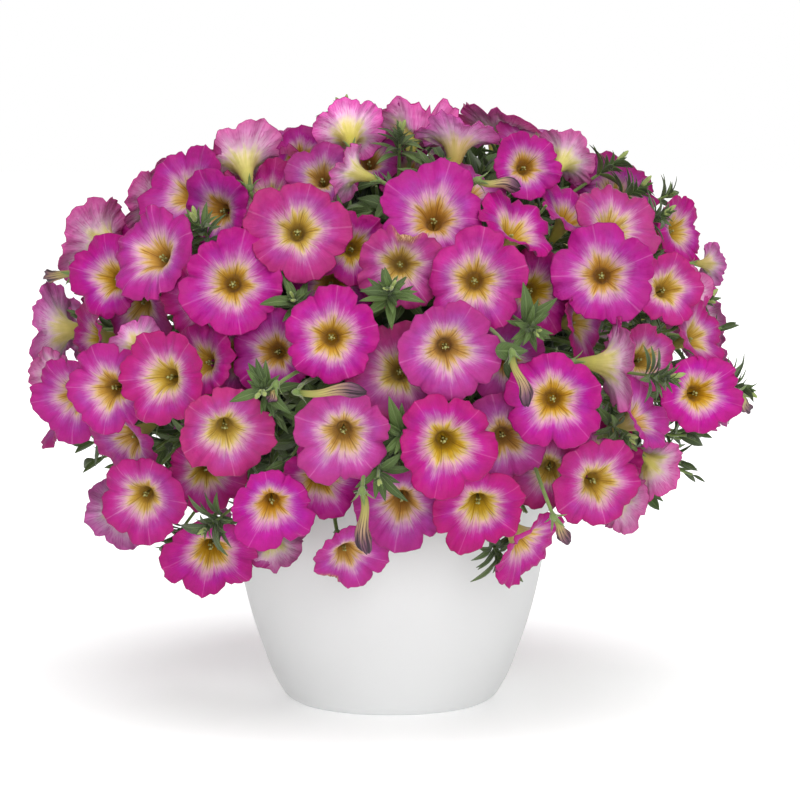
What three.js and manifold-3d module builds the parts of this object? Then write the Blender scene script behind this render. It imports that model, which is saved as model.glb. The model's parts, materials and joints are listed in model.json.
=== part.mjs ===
// A potted petunia: a plain round pot, its soil, one leafy plant and its dome
// of trumpet blooms, gathered into sprays that share a stalk.
//
// Millimetres, +Z up. The origin is the middle of the pot's flat base, and the
// plant's front faces -Y.
import * as THREE from 'three';
import { mergeVertices } from 'three/addons/utils/BufferGeometryUtils.js';
import Module from 'manifold-3d';

const wasm = await Module();
wasm.setup();
const { Manifold, Mesh: SolidMesh } = wasm;

// The pot: outer radius at each height, a wall, and a floor
const POT_WALL = 4;
const POT_FLOOR = 5;
const POT_OUTLINE = [
  [57.5, 0], [61.8, 2.5], [67, 10], [77, 34], [87.6, 71], [92.4, 100], [95, 140],
];
const POT_RIM_HEIGHT = 142;
const POT_SIDES = 22;

// The soil: a plug that fills the pot to below its rim
const SOIL_TOP = 128;

// The clearance that pieces keep, round a stalk in its hole too
const FIT_GAP = 0.4;

// The plant's crown: stems that stand in the soil and a leafy heart above it
const HEART = {
  height: 225, halfWidth: 108, halfHeight: 72, around: 14, down: 8, lowestLine: -0.35,
  lump: 0.035, lumps: 5, twist: 4,
};
const CROWN_STEMS = { count: 5, ring: 26, radius: 4.5, foot: 92, top: 168, sides: 6 };

// The dome that the blooms' rims lie on
const DOME = { middle: 190, halfWidth: 213, above: 169, below: 125, belowPower: 2.4, petalInset: 5 };

// One bloom of full size: radius and depth along its axis, from its rim
const BLOOM = {
  rim: 30, notch: 27.4, throat: 10.5, throatDepth: 10.5, calyx: 2.3, calyxDepth: 36,
  pit: 28, petal: 1, flutter: 1.6, lobes: 5, seed: 77,
};

// The picture that places the front blooms: where its eye stands, how far it
// looks down, its middle and its focal length, in pixels of an 800 square
const EYE = {
  x: 5.4, y: -2200, z: 428, down: 6.47, focal: 3735, middle: 400, near: 1800, far: 2500, step: 2,
};

// The front blooms: the rim's middle in the picture, the width there, how far
// it turns right and down, whether it faces us (+1) or away (-1), and how deep
// behind the dome it sits
const FRONT_BLOOMS = [
  [90, 243, 98, -0.85, -0.2, -1, 6], [105, 278, 85, -0.55, -0.05, 1, 6],
  [148, 250, 100, -0.55, -0.3, 1, 0], [132, 306, 85, -0.45, 0.5, 1, 6],
  [183, 188, 90, -0.4, -0.35, 1, 6], [150, 194, 85, -0.75, -0.45, -1, 6],
  [150, 215, 80, -0.6, -0.3, 1, 20], [232, 158, 85, -0.2, -0.75, -1, 6],
  [228, 172, 80, -0.1, -0.75, 1, 10], [212, 212, 80, -0.5, 0.1, 1, 12],
  [298, 229, 100, 0.05, -0.1, 1, 0], [270, 190, 90, -0.1, -0.55, 1, 12],
  [236, 280, 101, 0, 0, 1, 0], [205, 300, 85, -0.5, 0.2, 1, 18],
  [50, 330, 85, -0.9, 0, -1, 4], [88, 330, 75, -0.9, 0, 1, 6],
  [135, 338, 55, -0.3, -0.3, -1, 14], [48, 380, 70, -0.8, 0.1, -1, 4],
  [68, 398, 85, -0.45, 0.2, 1, 4], [105, 390, 90, -0.35, 0.1, 1, 0],
  [158, 378, 95, -0.45, 0.05, 1, 2], [195, 362, 80, -0.55, -0.05, 1, 12],
  [226, 435, 95, 0.1, 0.35, 1, 0], [118, 440, 90, -0.7, 0.45, 1, 4],
  [200, 478, 85, 0, 0.35, 1, 18], [140, 500, 85, -0.2, 0.25, 1, 0],
  [120, 515, 75, -0.3, 0.4, -1, 12], [210, 560, 95, 0, 0.55, 1, 0],
  [272, 510, 85, 0.05, 0.4, 1, 4], [268, 548, 65, 0.1, 0.5, -1, 14],
  [312, 488, 90, 0.1, 0.35, 1, 4], [343, 437, 103, 0, 0.25, 1, 0],
  [331, 337, 100, 0, 0, 1, 0], [272, 350, 85, -0.2, 0, 1, 24],
  [400, 372, 100, 0, 0, 1, 20], [448, 350, 102, 0.1, 0.15, 1, 0],
  [447, 446, 105, 0.1, 0.2, 1, 0], [402, 508, 90, 0, 0.4, 1, 14],
  [480, 513, 92, 0.05, 0.5, 1, 4], [533, 550, 92, 0.65, 0.65, 1, 0],
  [350, 560, 75, 0.3, 0.6, 1, 2], [555, 400, 100, 0.05, 0.05, 1, 0],
  [553, 475, 80, -0.1, 0.3, 1, 14], [601, 485, 92, 0.3, 0.15, 1, 0],
  [628, 500, 70, 0.8, 0.2, -1, 10], [655, 470, 70, 0.5, 0.5, -1, 10],
  [605, 455, 75, 0.3, -0.2, 1, 18], [648, 412, 85, 0.8, -0.45, 1, 2],
  [622, 365, 90, 0.95, 0.05, -1, 4], [648, 358, 75, 0.4, -0.1, 1, 16],
  [592, 312, 80, 0.85, 0, 1, 6], [603, 275, 98, 0, 0, 1, 0],
  [540, 288, 90, 0.2, 0.05, 1, 8], [475, 280, 103, 0, 0, 1, 0],
  [400, 265, 90, 0, 0.05, 1, 10], [434, 212, 105, 0, -0.3, 1, 4],
  [522, 222, 90, 0.5, -0.68, 1, 4], [528, 165, 75, 0.2, -0.1, 1, 0],
  [535, 140, 75, 0.1, -0.75, 1, 10], [570, 155, 65, 0.5, -0.6, -1, 8],
  [608, 182, 88, 0.05, -0.6, 1, 8], [618, 218, 90, 0.35, -0.55, 1, 2],
  [575, 208, 80, 0.5, -0.75, 1, 14], [685, 228, 72, 0.75, -0.15, 1, 4],
  [670, 288, 78, 0.3, -0.1, 1, 2], [688, 300, 70, 0.6, 0, -1, 12],
  [712, 262, 45, 0.85, 0, -1, 6], [704, 334, 75, 0.75, -0.3, 1, 4],
  [703, 393, 85, 0.3, 0, 1, 0], [655, 245, 75, 0.3, -0.3, 1, 20],
  [383, 128, 80, 0, -0.7, 1, 10], [348, 128, 75, -0.1, -0.55, -1, 4],
  [425, 121, 88, 0.1, -0.8, -1, 4], [458, 130, 88, 0.1, -0.97, -1, 2],
  [345, 170, 65, -0.9, -0.3, -1, 6], [362, 147, 75, 0, -0.5, 1, 10],
  [303, 148, 75, -0.1, -0.5, 1, 8], [325, 172, 75, -0.1, -0.4, 1, 12],
  [285, 158, 60, -0.2, -0.6, -1, 14], [345, 245, 80, 0.2, 0, 1, 16],
  [335, 278, 85, 0, 0.2, 1, 34], [505, 362, 85, 0.1, 0.2, 1, 24],
  [505, 440, 90, 0.1, 0.2, 1, 22], [232, 350, 80, 0, 0, 1, 26],
  [475, 180, 80, 0.4, -0.8, 1, 14], [410, 160, 75, 0.1, -0.5, 1, 20],
];

// The back blooms, which the picture hides: spread evenly over the same dome,
// tucked in below its waist
const BACK_BLOOMS = {
  candidates: 900, spacing: 52, highest: 352, lowest: 92, forward: 0, waist: 170, waistWidth: 135,
  size: [0.8, 1], depth: [0, 14], sway: 0.35, seed: 411,
};

// One leaf: half outlines as reach, half width and lift in lengths of the leaf
const LEAF = {
  thickness: 0.8, droop: 0.12, broadFrom: 28,
  narrowOutline: [[0.5, 0.2, 0.08]],
  broadOutline: [[0.32, 0.25, 0.07], [0.72, 0.2, 0.03]],
};

// The front shoots: the tip in the picture, how deep behind the dome it lies,
// how many leaves it has and how long they are
const FRONT_SHOOTS = [
  [390, 290, 4, 6, 26], [533, 330, 2, 6, 32], [440, 165, 6, 4, 24], [262, 374, 4, 5, 26],
  [295, 300, 12, 4, 26], [744, 388, -2, 6, 27], [625, 435, 10, 4, 26], [705, 300, 6, 4, 22],
  [345, 120, 2, 4, 22], [566, 262, 6, 4, 22], [270, 415, 10, 4, 32], [390, 470, 6, 3, 30],
  [402, 440, 8, 4, 26], [195, 520, 8, 4, 30], [170, 545, 8, 3, 26], [500, 560, 6, 3, 26],
  [668, 378, 2, 3, 22], [662, 215, 6, 4, 22], [676, 192, 0, 3, 20], [640, 180, 4, 3, 20],
  [615, 163, 4, 3, 22], [400, 135, 8, 3, 22], [185, 215, 8, 4, 24],
];

// Withered blooms and buds in the picture: from, to, depth and radius
const SPINDLES = [
  [74, 258, 46, 260, 4, 4.5], [296, 392, 366, 391, -6, 4.5], [362, 482, 366, 545, -4, 5],
  [528, 352, 544, 406, -8, 4.5], [465, 188, 508, 195, 0, 4.5], [565, 508, 580, 534, -4, 4],
  [738, 392, 748, 410, -4, 4.5], [268, 384, 262, 402, 0, 3.5],
];
const SPINDLE = { sides: 4, sunk: 3, rings: [[0, 0.4], [0.3, 0.6], [0.8, 1], [1, 0.45]] };

// Every shoot's stem and leaves, where its tip is tried (right, down, nearer) and
// where its root is (turned and pitched off the straight line, in radians)
const SHOOT = {
  depth: 12, radius: 1.6, sides: 3, pitch: 4, spread: [0.75, 1.35], wobble: 0.5, variety: 0.3, seed: 93,
  fewest: 2,
  tries: [
    [0, 0, 0], [0, 0, 6], [8, 0, 3], [-8, 0, 3], [0, 8, 3], [0, -8, 3], [12, 8, 6], [-12, 8, 6],
    [12, -8, 6], [-12, -8, 6], [16, 0, 6], [-16, 0, 6], [0, 16, 6], [0, -16, 6], [0, 0, 10],
    [8, 0, 12], [-8, 0, 12], [0, 8, 12], [0, -8, 12],
  ],
  roots: [
    [0, 0], [0.2, 0], [-0.2, 0], [0, 0.2], [0, -0.2], [0.4, 0], [-0.4, 0], [0, 0.4], [0, -0.4],
    [0.3, 0.3], [-0.3, 0.3], [0.3, -0.3], [-0.3, -0.3],
  ],
};
const BACK_SHOOTS = {
  candidates: 600, spacing: 108, clear: 27, depth: 12, highest: 352, lowest: 100, forward: 20, waist: 170,
  waistWidth: 150, leaves: 3, length: 26, seed: 58,
};

// Each spray's stalks: the leader's root in the heart, and the forks off it
const STALK = { depth: 12, firstFork: 5, forkStep: 5, radius: 1, leader: 2.3 };

// How many sprays the blooms are gathered in, and how strongly a full one is passed over
const SPRAY_COUNT = 52;
const SPRAY_CROWD = 8;

// How crossing blooms slide apart
const SETTLE = {
  passes: 40, near: 70, inward: 1.5, outward: 0.5, deepest: 34, proudest: -3, aside: 0.5, furthest: 6,
  rings: [[30, 0], [20, -5.5]], around: 10,
};

// The looks
const POT_LOOK = { color: 0xe9e9e9, roughness: 0.45 };
const SOIL_LOOK = { color: 0x3b2a1e, roughness: 0.95 };
const LEAF_LOOK = { color: 0x5f7f3a, roughness: 0.7 };
const PETAL_LOOK = { color: 0xc02a90, roughness: 0.6 };

/** A seeded stream of even draws from 0 to 1. */
function seeded(seed) {
  let state = seed >>> 0;
  return () => {
    state = (state + 0x6d2b79f5) >>> 0;
    let mixed = Math.imul(state ^ (state >>> 15), state | 1);
    mixed ^= mixed + Math.imul(mixed ^ (mixed >>> 7), mixed | 61);
    return ((mixed ^ (mixed >>> 14)) >>> 0) / 4294967296;
  };
}

const radians = THREE.MathUtils.degToRad;
const UP = new THREE.Vector3(0, 0, 1);
const GOLDEN_ANGLE = Math.PI * (3 - Math.sqrt(5));

/** A closed solid from its corners and its triangles, given as index triples. */
function solid(corners, faces) {
  const vertProperties = new Float32Array(corners.flatMap((corner) => corner.toArray()));
  const triVerts = new Uint32Array(faces.flat());
  return new Manifold(new SolidMesh({ numProp: 3, vertProperties, triVerts }));
}

/** A three.js geometry as a solid, its doubled corners merged. */
function solidOf(geometry) {
  const plain = geometry.clone();
  plain.deleteAttribute('normal');
  plain.deleteAttribute('uv');
  const merged = mergeVertices(plain, 1e-4);
  return new Manifold(new SolidMesh({
    numProp: 3,
    vertProperties: new Float32Array(merged.attributes.position.array),
    triVerts: new Uint32Array(merged.index.array),
  }));
}

/** All the solids joined in one. */
function joined(solids) {
  return solids.reduce((whole, piece) => whole.add(piece));
}

/** How far out of the dome a point lies: below 1 inside it, 1 on it. */
function domeLevel(point, inset) {
  const reach = Math.hypot(point.x, point.y) / (DOME.halfWidth - inset);
  const rise = point.z - DOME.middle;
  if (rise >= 0) return reach ** 2 + (rise / (DOME.above - inset)) ** 2;
  return reach ** DOME.belowPower + (-rise / (DOME.below - inset)) ** DOME.belowPower;
}

/** The dome's outward direction at a point on it. */
function domeNormal(point) {
  const flat = Math.hypot(point.x, point.y);
  const rise = point.z - DOME.middle;
  const power = rise >= 0 ? 2 : DOME.belowPower;
  const half = rise >= 0 ? DOME.above : DOME.below;
  const outward = (flat / DOME.halfWidth) ** (power - 1) / DOME.halfWidth;
  const upward = Math.sign(rise) * (Math.abs(rise) / half) ** (power - 1) / half;
  return new THREE.Vector3(
    (outward * point.x) / flat, (outward * point.y) / flat, upward,
  ).normalize();
}

/** Where the line of sight through a place in the picture meets the dome. */
function sightPoint(across, down, depth) {
  const tilt = radians(EYE.down);
  const ahead = new THREE.Vector3(0, Math.cos(tilt), -Math.sin(tilt));
  const upward = new THREE.Vector3(0, Math.sin(tilt), Math.cos(tilt));
  const eye = new THREE.Vector3(EYE.x, EYE.y, EYE.z);
  const sight = ahead.clone().addScaledVector(upward, -(down - EYE.middle) / EYE.focal);
  sight.x += (across - EYE.middle) / EYE.focal;
  let reach = EYE.near;
  let lowest = Infinity;
  for (let step = EYE.near; step < EYE.far && lowest > 1; step += EYE.step) {
    const level = domeLevel(eye.clone().addScaledVector(sight, step), depth + DOME.petalInset);
    if (level < lowest) [lowest, reach] = [level, step];
  }
  return { spot: eye.addScaledVector(sight, reach), reach, sight: sight.normalize(), ahead, upward };
}

/** A bloom's place and facing, read from its row in FRONT_BLOOMS. */
function frontBloom([across, down, width, right, drop, side, depth]) {
  const { spot, reach, sight, ahead, upward } = sightPoint(across, down, depth);
  const toward = side * Math.sqrt(Math.max(0, 1 - right ** 2 - drop ** 2));
  const facing = new THREE.Vector3(right, 0, 0)
    .addScaledVector(upward, -drop)
    .addScaledVector(ahead, -toward)
    .normalize();
  const size = (width * reach) / (2 * EYE.focal * BLOOM.rim);
  return { rim: spot, facing, size, slide: sight.negate(), depth };
}

/** Spots spread over the back of the dome, top to bottom, with the way out at each. */
function domeSpots({ candidates, highest, lowest, forward, waist, waistWidth }) {
  const spots = Array.from({ length: candidates }, (_, index) => {
    const rise = 1 - (2 * (index + 0.5)) / candidates;
    const flat = Math.sqrt(1 - rise ** 2);
    const turn = index * GOLDEN_ANGLE;
    const power = rise >= 0 ? 2 : DOME.belowPower;
    const half = rise >= 0 ? DOME.above : DOME.below;
    const level = (flat / DOME.halfWidth) ** power + (Math.abs(rise) / half) ** power;
    const spot = new THREE.Vector3(flat * Math.cos(turn), flat * Math.sin(turn), rise)
      .multiplyScalar(level ** (-1 / power));
    spot.z += DOME.middle;
    return { spot, out: domeNormal(spot) };
  });
  return spots.filter(({ spot }) => {
    const inBand = spot.z < highest && spot.z > lowest;
    const tucked = spot.z > waist || Math.abs(spot.x) < waistWidth;
    return spot.y > forward && inBand && tucked;
  });
}

/** Blooms over the back of the dome, each well apart from those before it. */
function backBlooms(before) {
  const draw = seeded(BACK_BLOOMS.seed);
  const between = ([low, high]) => low + (high - low) * draw();
  const blooms = [];
  domeSpots(BACK_BLOOMS).forEach(({ spot, out }) => {
    const apart = [...before, ...blooms].every(
      (other) => other.rim.distanceTo(spot) > BACK_BLOOMS.spacing,
    );
    if (!apart) return;
    const depth = between(BACK_BLOOMS.depth);
    const sway = () => BACK_BLOOMS.sway * (2 * draw() - 1);
    const facing = out.clone().add(new THREE.Vector3(sway(), sway(), sway())).normalize();
    const rim = spot.addScaledVector(out, -(DOME.petalInset + depth));
    blooms.push({ rim, facing, size: between(BACK_BLOOMS.size), slide: out, depth });
  });
  return blooms;
}

/** Points that stand for a bloom's petals while blooms are kept apart. */
function petalPoints(bloom) {
  const turn = turnTo(bloom.facing);
  return SETTLE.rings.flatMap(([reach, height]) => (
    Array.from({ length: SETTLE.around }, (_, index) => {
      const angle = (2 * Math.PI * index) / SETTLE.around;
      return new THREE.Vector3(reach * Math.cos(angle), reach * Math.sin(angle), height)
        .multiplyScalar(bloom.size)
        .applyQuaternion(turn)
        .add(bloom.rim);
    })
  ));
}

/** The side of a bloom's petals that a point lies on, 0 beyond its rim. */
function petalSide(bloom, point) {
  const offset = point.clone().sub(bloom.rim).divideScalar(bloom.size);
  const height = offset.dot(bloom.facing);
  const reach = Math.sqrt(Math.max(0, offset.lengthSq() - height ** 2));
  if (reach > BLOOM.rim) return 0;
  const share = (BLOOM.rim - reach) / (BLOOM.rim - BLOOM.throat);
  return Math.sign(height + BLOOM.throatDepth * share);
}

/** Whether the petals of one bloom pass through those of another. */
function petalsCross(one, other) {
  const sides = petalPoints(other).map((point) => petalSide(one, point));
  return sides.includes(1) && sides.includes(-1);
}

/** Slide crossing blooms apart along their own lines, the deeper one inward. */
function settle(blooms) {
  for (let pass = 0; pass < SETTLE.passes; pass += 1) {
    blooms.forEach((one, index) => {
      blooms.slice(0, index).forEach((other) => {
        if (one.rim.distanceTo(other.rim) > SETTLE.near) return;
        if (!petalsCross(one, other) && !petalsCross(other, one)) return;
        const [inner, outer] = one.depth >= other.depth ? [one, other] : [other, one];
        const aside = inner.rim.clone().sub(outer.rim);
        aside.addScaledVector(inner.slide, -aside.dot(inner.slide)).normalize();
        const nudge = Math.min(SETTLE.aside, SETTLE.furthest - inner.nudged);
        inner.rim.addScaledVector(aside, nudge);
        inner.nudged += nudge;
        const sink = Math.min(SETTLE.inward, Math.max(0, SETTLE.deepest - inner.depth));
        inner.rim.addScaledVector(inner.slide, -sink);
        inner.depth += sink;
        const lift = Math.min(SETTLE.outward, Math.max(0, outer.depth - SETTLE.proudest));
        outer.rim.addScaledVector(outer.slide, lift);
        outer.depth -= lift;
      });
    });
  }
}

/** Corners on a ring, each given by its reach, its turn and its height. */
function ring(spots, turn, middle) {
  return {
    turns: spots.map(([, angle]) => angle),
    corners: spots.map(([reach, angle, height]) => (
      new THREE.Vector3(reach * Math.cos(angle), reach * Math.sin(angle), height)
        .applyQuaternion(turn)
        .add(middle)
    )),
  };
}

/** Even spots for a ring of one reach and height. */
function evenSpots(count, reach, height) {
  return Array.from({ length: count }, (_, index) => [reach, (2 * Math.PI * index) / count, height]);
}

/** Triangles between two rings, always across the shorter diagonal. */
function stitch(lower, upper) {
  const turnOf = (round, index) => {
    const count = round.turns.length;
    return round.turns[index % count] + 2 * Math.PI * Math.floor(index / count);
  };
  const faces = [];
  let [low, high] = [0, 0];
  while (low < lower.turns.length || high < upper.turns.length) {
    const here = lower.start + (low % lower.turns.length);
    const above = upper.start + (high % upper.turns.length);
    const climb = Math.abs(turnOf(upper, high + 1) - turnOf(lower, low));
    const walk = Math.abs(turnOf(lower, low + 1) - turnOf(upper, high));
    const canWalk = low < lower.turns.length;
    if (high === upper.turns.length || (canWalk && walk <= climb)) {
      low += 1;
      faces.push([here, lower.start + (low % lower.turns.length), above]);
    } else {
      high += 1;
      faces.push([here, upper.start + (high % upper.turns.length), above]);
    }
  }
  return faces;
}

/** The same triangles facing the other way. */
function turned(faces) {
  return faces.map(([first, second, third]) => [first, third, second]);
}

/** A flat fan over a ring, facing up its axis. */
function fan(round) {
  return round.turns.slice(2).map((_, index) => (
    [round.start, round.start + index + 1, round.start + index + 2]
  ));
}

/** The turn that points a bloom's axis another way without twisting its stalk. */
function leanTo(bloom, direction) {
  return new THREE.Quaternion().setFromUnitVectors(bloom.facing, direction).multiply(bloom.turn);
}

/** One bloom on its stalk: up the outside, over the rim and down the throat. */
function bloomSolid(bloom, end, thickness) {
  const { size, turn } = bloom;
  const draw = seeded(BLOOM.seed + bloom.index);
  const calyx = calyxOf(bloom);
  const along = calyx.clone().sub(end).normalize();
  const bend = along.clone().add(bloom.facing).normalize();
  const lobe = (2 * Math.PI) / BLOOM.lobes;
  const rise = () => BLOOM.flutter * (2 * draw() - 1);
  const edge = Array.from({ length: BLOOM.lobes }, (_, index) => {
    const middle = index * lobe;
    return [
      [BLOOM.rim * size, middle, rise()],
      [BLOOM.notch * size, middle + lobe / 2, rise() - BLOOM.flutter],
    ];
  }).flat();
  const under = edge.map(([reach, angle, height]) => [reach, angle, height - BLOOM.petal]);
  const wall = BLOOM.petal;
  const rings = [
    ring(evenSpots(3, thickness, 0), leanTo(bloom, along), end),
    ring(evenSpots(3, BLOOM.calyx, 0), leanTo(bloom, bend), calyx),
    ring(evenSpots(BLOOM.lobes, BLOOM.throat * size, -BLOOM.throatDepth * size), turn, bloom.rim),
    ring(under, turn, bloom.rim),
    ring(edge, turn, bloom.rim),
    ring(
      evenSpots(BLOOM.lobes, BLOOM.throat * size - wall, -BLOOM.throatDepth * size + wall),
      turn,
      bloom.rim,
    ),
    ring([[0, 0, -BLOOM.pit * size]], turn, bloom.rim),
  ];
  let start = 0;
  rings.forEach((round) => {
    round.start = start;
    start += round.corners.length;
  });
  const [foot, base, throat, underRim, rim, innerThroat, pit] = rings;
  const pitFan = innerThroat.turns.map((_, index) => (
    [innerThroat.start + index, innerThroat.start + ((index + 1) % BLOOM.lobes), pit.start]
  ));
  return solid(rings.flatMap((round) => round.corners), [
    ...turned(fan(foot)),
    ...stitch(foot, base),
    ...stitch(base, throat),
    ...stitch(throat, underRim),
    ...stitch(underRim, rim),
    ...turned(stitch(innerThroat, rim)),
    ...pitFan,
  ]);
}

/** Join the groups that a test pairs up, until it pairs none. */
function mergeGroups(groups, meet) {
  const kept = [];
  groups.forEach((group) => {
    const met = kept.filter((other) => meet(group, other));
    met.forEach((other) => kept.splice(kept.indexOf(other), 1));
    kept.push(met.length > 0 ? [...met.flat(), ...group] : group);
  });
  return kept.length === groups.length ? kept : mergeGroups(kept, meet);
}

/** The middle of some points. */
function middleOf(points) {
  return points
    .reduce((sum, point) => sum.add(point), new THREE.Vector3())
    .divideScalar(points.length);
}

/** Where a bloom's tube ends and its stalk begins. */
function calyxOf(bloom, beyond = 0) {
  return bloom.rim.clone().addScaledVector(bloom.facing, -BLOOM.calyxDepth * bloom.size - beyond);
}

/** Whether two solids come nearer than the gap that all nodes keep. */
function meets(one, other) {
  const [first, second] = [one.boundingBox(), other.boundingBox()];
  const near = first.min.every((low, axis) => (
    low - FIT_GAP < second.max[axis] && second.min[axis] - FIT_GAP < first.max[axis]
  ));
  return near && one.minGap(other, 2 * FIT_GAP) < FIT_GAP;
}

/** A point of the heart's skin, along a line out of its middle. */
function heartPoint(direction, beyond) {
  const flat = Math.hypot(direction.x, direction.y) / HEART.halfWidth;
  const reach = 1 / Math.hypot(flat, direction.z / HEART.halfHeight);
  return direction.clone().multiplyScalar(reach + beyond).add(new THREE.Vector3(0, 0, HEART.height));
}

/** The line from the heart's middle that a bloom's stalk grows along. */
function growthLine(bloom) {
  const line = calyxOf(bloom).sub(new THREE.Vector3(0, 0, HEART.height)).normalize();
  line.z = Math.max(line.z, HEART.lowestLine);
  return line.normalize();
}

/** The turn that points the upright axis along a direction. */
function turnTo(direction) {
  return new THREE.Quaternion().setFromUnitVectors(UP, direction.clone().normalize());
}

/** A closed spindle or rod through rings given by their share of the way and radius. */
function ringed(start, end, steps, sides, turn = turnTo(end.clone().sub(start))) {
  const along = end.clone().sub(start);
  const rings = steps.map(([share, radius], index) => ({
    ...ring(evenSpots(sides, radius, 0), turn, start.clone().addScaledVector(along, share)),
    start: index * sides,
  }));
  return solid(rings.flatMap((round) => round.corners), [
    ...turned(fan(rings[0])),
    ...rings.slice(1).flatMap((round, index) => stitch(rings[index], round)),
    ...fan(rings[rings.length - 1]),
  ]);
}

/** A straight rod of one radius. */
function rod(start, end, radius, sides) {
  return ringed(start, end, [[0, radius], [1, radius]], sides);
}

/** One spray: the straightest stalk is rooted in the heart and carries the others. */
function spray(blooms) {
  const leaders = [...blooms].sort((one, other) => leanOf(one) - leanOf(other));
  const [leader, ...others] = leaders;
  const root = heartPoint(growthLine(leader), -STALK.depth);
  const along = calyxOf(leader).sub(root).normalize();
  const fork = (index) => (
    root.clone().addScaledVector(along, STALK.depth + STALK.firstFork + index * STALK.forkStep)
  );
  const pieces = [
    bloomSolid(leader, root, STALK.leader),
    ...others.map((bloom, index) => bloomSolid(bloom, fork(index), STALK.radius)),
  ];
  const mouth = root.clone().addScaledVector(along, 2 * STALK.depth);
  const bottom = root.clone().addScaledVector(along, -FIT_GAP);
  const bore = STALK.leader + 2 * FIT_GAP;
  return {
    blooms,
    body: filled(joined(pieces)),
    socket: ringed(bottom, mouth, [[0, bore], [1, bore]], 3, leanTo(leader, along)),
  };
}

/** How far a bloom's stalk would lean from its growth line. */
function leanOf(bloom) {
  return calyxOf(bloom).sub(heartPoint(growthLine(bloom), 0)).angleTo(bloom.facing);
}

/** A solid without the hollows that joining has sealed in it. */
function filled(body) {
  return joined(body.decompose().filter((piece) => piece.volume() > 0));
}

/** Gather the smallest groups into their neighbours until few enough are left. */
function gathered(groups) {
  if (groups.length <= SPRAY_COUNT) return groups;
  const [smallest, ...rest] = [...groups].sort((one, other) => one.length - other.length);
  const home = middleOf(smallest.map((bloom) => calyxOf(bloom)));
  const far = (group) => (
    middleOf(group.map((bloom) => calyxOf(bloom))).distanceTo(home) + SPRAY_CROWD * group.length
  );
  const nearest = rest.reduce((best, group) => (far(group) < far(best) ? group : best));
  return gathered(rest.map((group) => (group === nearest ? [...group, ...smallest] : group)));
}

/** The sprays that groups of blooms grow into, those that meet grown as one. */
function grown(groups) {
  const sprays = groups.map(spray);
  const bodies = new Map(sprays.map(({ blooms, body }) => [blooms, body]));
  const merged = mergeGroups(groups, (one, other) => (
    bodies.has(one) && bodies.has(other) && meets(bodies.get(one), bodies.get(other))
  ));
  return merged.length === groups.length ? sprays : grown(merged);
}

/** All sprays: blooms that touch, then nearest neighbours, share a stalk. */
function allSprays(blooms) {
  const alone = new Map(blooms.map((bloom) => (
    [bloom, bloomSolid(bloom, calyxOf(bloom, STALK.radius), STALK.radius)]
  )));
  const touching = mergeGroups(blooms.map((bloom) => [bloom]), (one, other) => (
    one.some((bloom) => other.some((next) => meets(alone.get(bloom), alone.get(next))))
  ));
  return grown(gathered(touching));
}

/** A closed solid turned about the upright axis from a profile of its section. */
function turnedSolid(profile, sides) {
  return solidOf(new THREE.LatheGeometry(
    profile.map(([reach, height]) => new THREE.Vector2(reach, height)),
    sides,
  ).rotateX(Math.PI / 2));
}

/** The pot's outer radius at a height, straight between the outline's points. */
function potRadius(height) {
  const above = POT_OUTLINE.findIndex(([, level]) => level >= height);
  const [[lowReach, low], [highReach, high]] = POT_OUTLINE.slice(above - 1, above + 1);
  return lowReach + ((highReach - lowReach) * (height - low)) / (high - low);
}

/** The pot: a plain shell, open at the top, with a rounded rim. */
function pot() {
  const [topReach] = POT_OUTLINE[POT_OUTLINE.length - 1];
  const inside = POT_OUTLINE
    .filter(([, height]) => height > POT_FLOOR)
    .map(([reach, height]) => [reach - POT_WALL, height])
    .reverse();
  return turnedSolid([
    [0, 0],
    ...POT_OUTLINE,
    [topReach - POT_WALL / 4, POT_RIM_HEIGHT],
    [topReach - (3 * POT_WALL) / 4, POT_RIM_HEIGHT],
    ...inside,
    [potRadius(POT_FLOOR) - POT_WALL, POT_FLOOR],
    [0, POT_FLOOR],
  ], POT_SIDES);
}

/** The crown stems, straight up out of the soil into the heart. */
function crownStems(spare) {
  return Array.from({ length: CROWN_STEMS.count }, (_, index) => {
    const angle = (2 * Math.PI * index) / CROWN_STEMS.count;
    const foot = new THREE.Vector3(
      CROWN_STEMS.ring * Math.cos(angle),
      CROWN_STEMS.ring * Math.sin(angle),
      CROWN_STEMS.foot - spare,
    );
    return rod(foot, foot.clone().setZ(CROWN_STEMS.top), CROWN_STEMS.radius + spare, CROWN_STEMS.sides);
  });
}

/** The soil: a plug inside the pot, with a plain hole for each crown stem. */
function soil() {
  const bottom = POT_FLOOR + FIT_GAP;
  const skin = POT_WALL + FIT_GAP;
  const side = POT_OUTLINE.filter(([, height]) => height > bottom && height < SOIL_TOP);
  const plug = turnedSolid([
    [0, bottom],
    [potRadius(bottom) - skin, bottom],
    ...side.map(([reach, height]) => [reach - skin, height]),
    [potRadius(SOIL_TOP) - skin, SOIL_TOP],
    [0, SOIL_TOP],
  ], POT_SIDES);
  return plug.subtract(joined(crownStems(FIT_GAP)));
}

/** The heart: the smaller lumpy core that the shoots stand out of. */
function heart() {
  const ball = new THREE.SphereGeometry(1, HEART.around, HEART.down).rotateX(Math.PI / 2);
  const place = ball.attributes.position;
  const corner = new THREE.Vector3();
  for (let index = 0; index < place.count; index += 1) {
    corner.fromBufferAttribute(place, index);
    const angle = Math.atan2(corner.y, corner.x);
    const wave = Math.sin(HEART.lumps * angle + HEART.twist * corner.z);
    corner.multiplyScalar(1 + HEART.lump * wave * Math.hypot(corner.x, corner.y));
    place.setXYZ(
      index,
      corner.x * HEART.halfWidth,
      corner.y * HEART.halfWidth,
      corner.z * HEART.halfHeight + HEART.height,
    );
  }
  return solidOf(ball);
}

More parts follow.
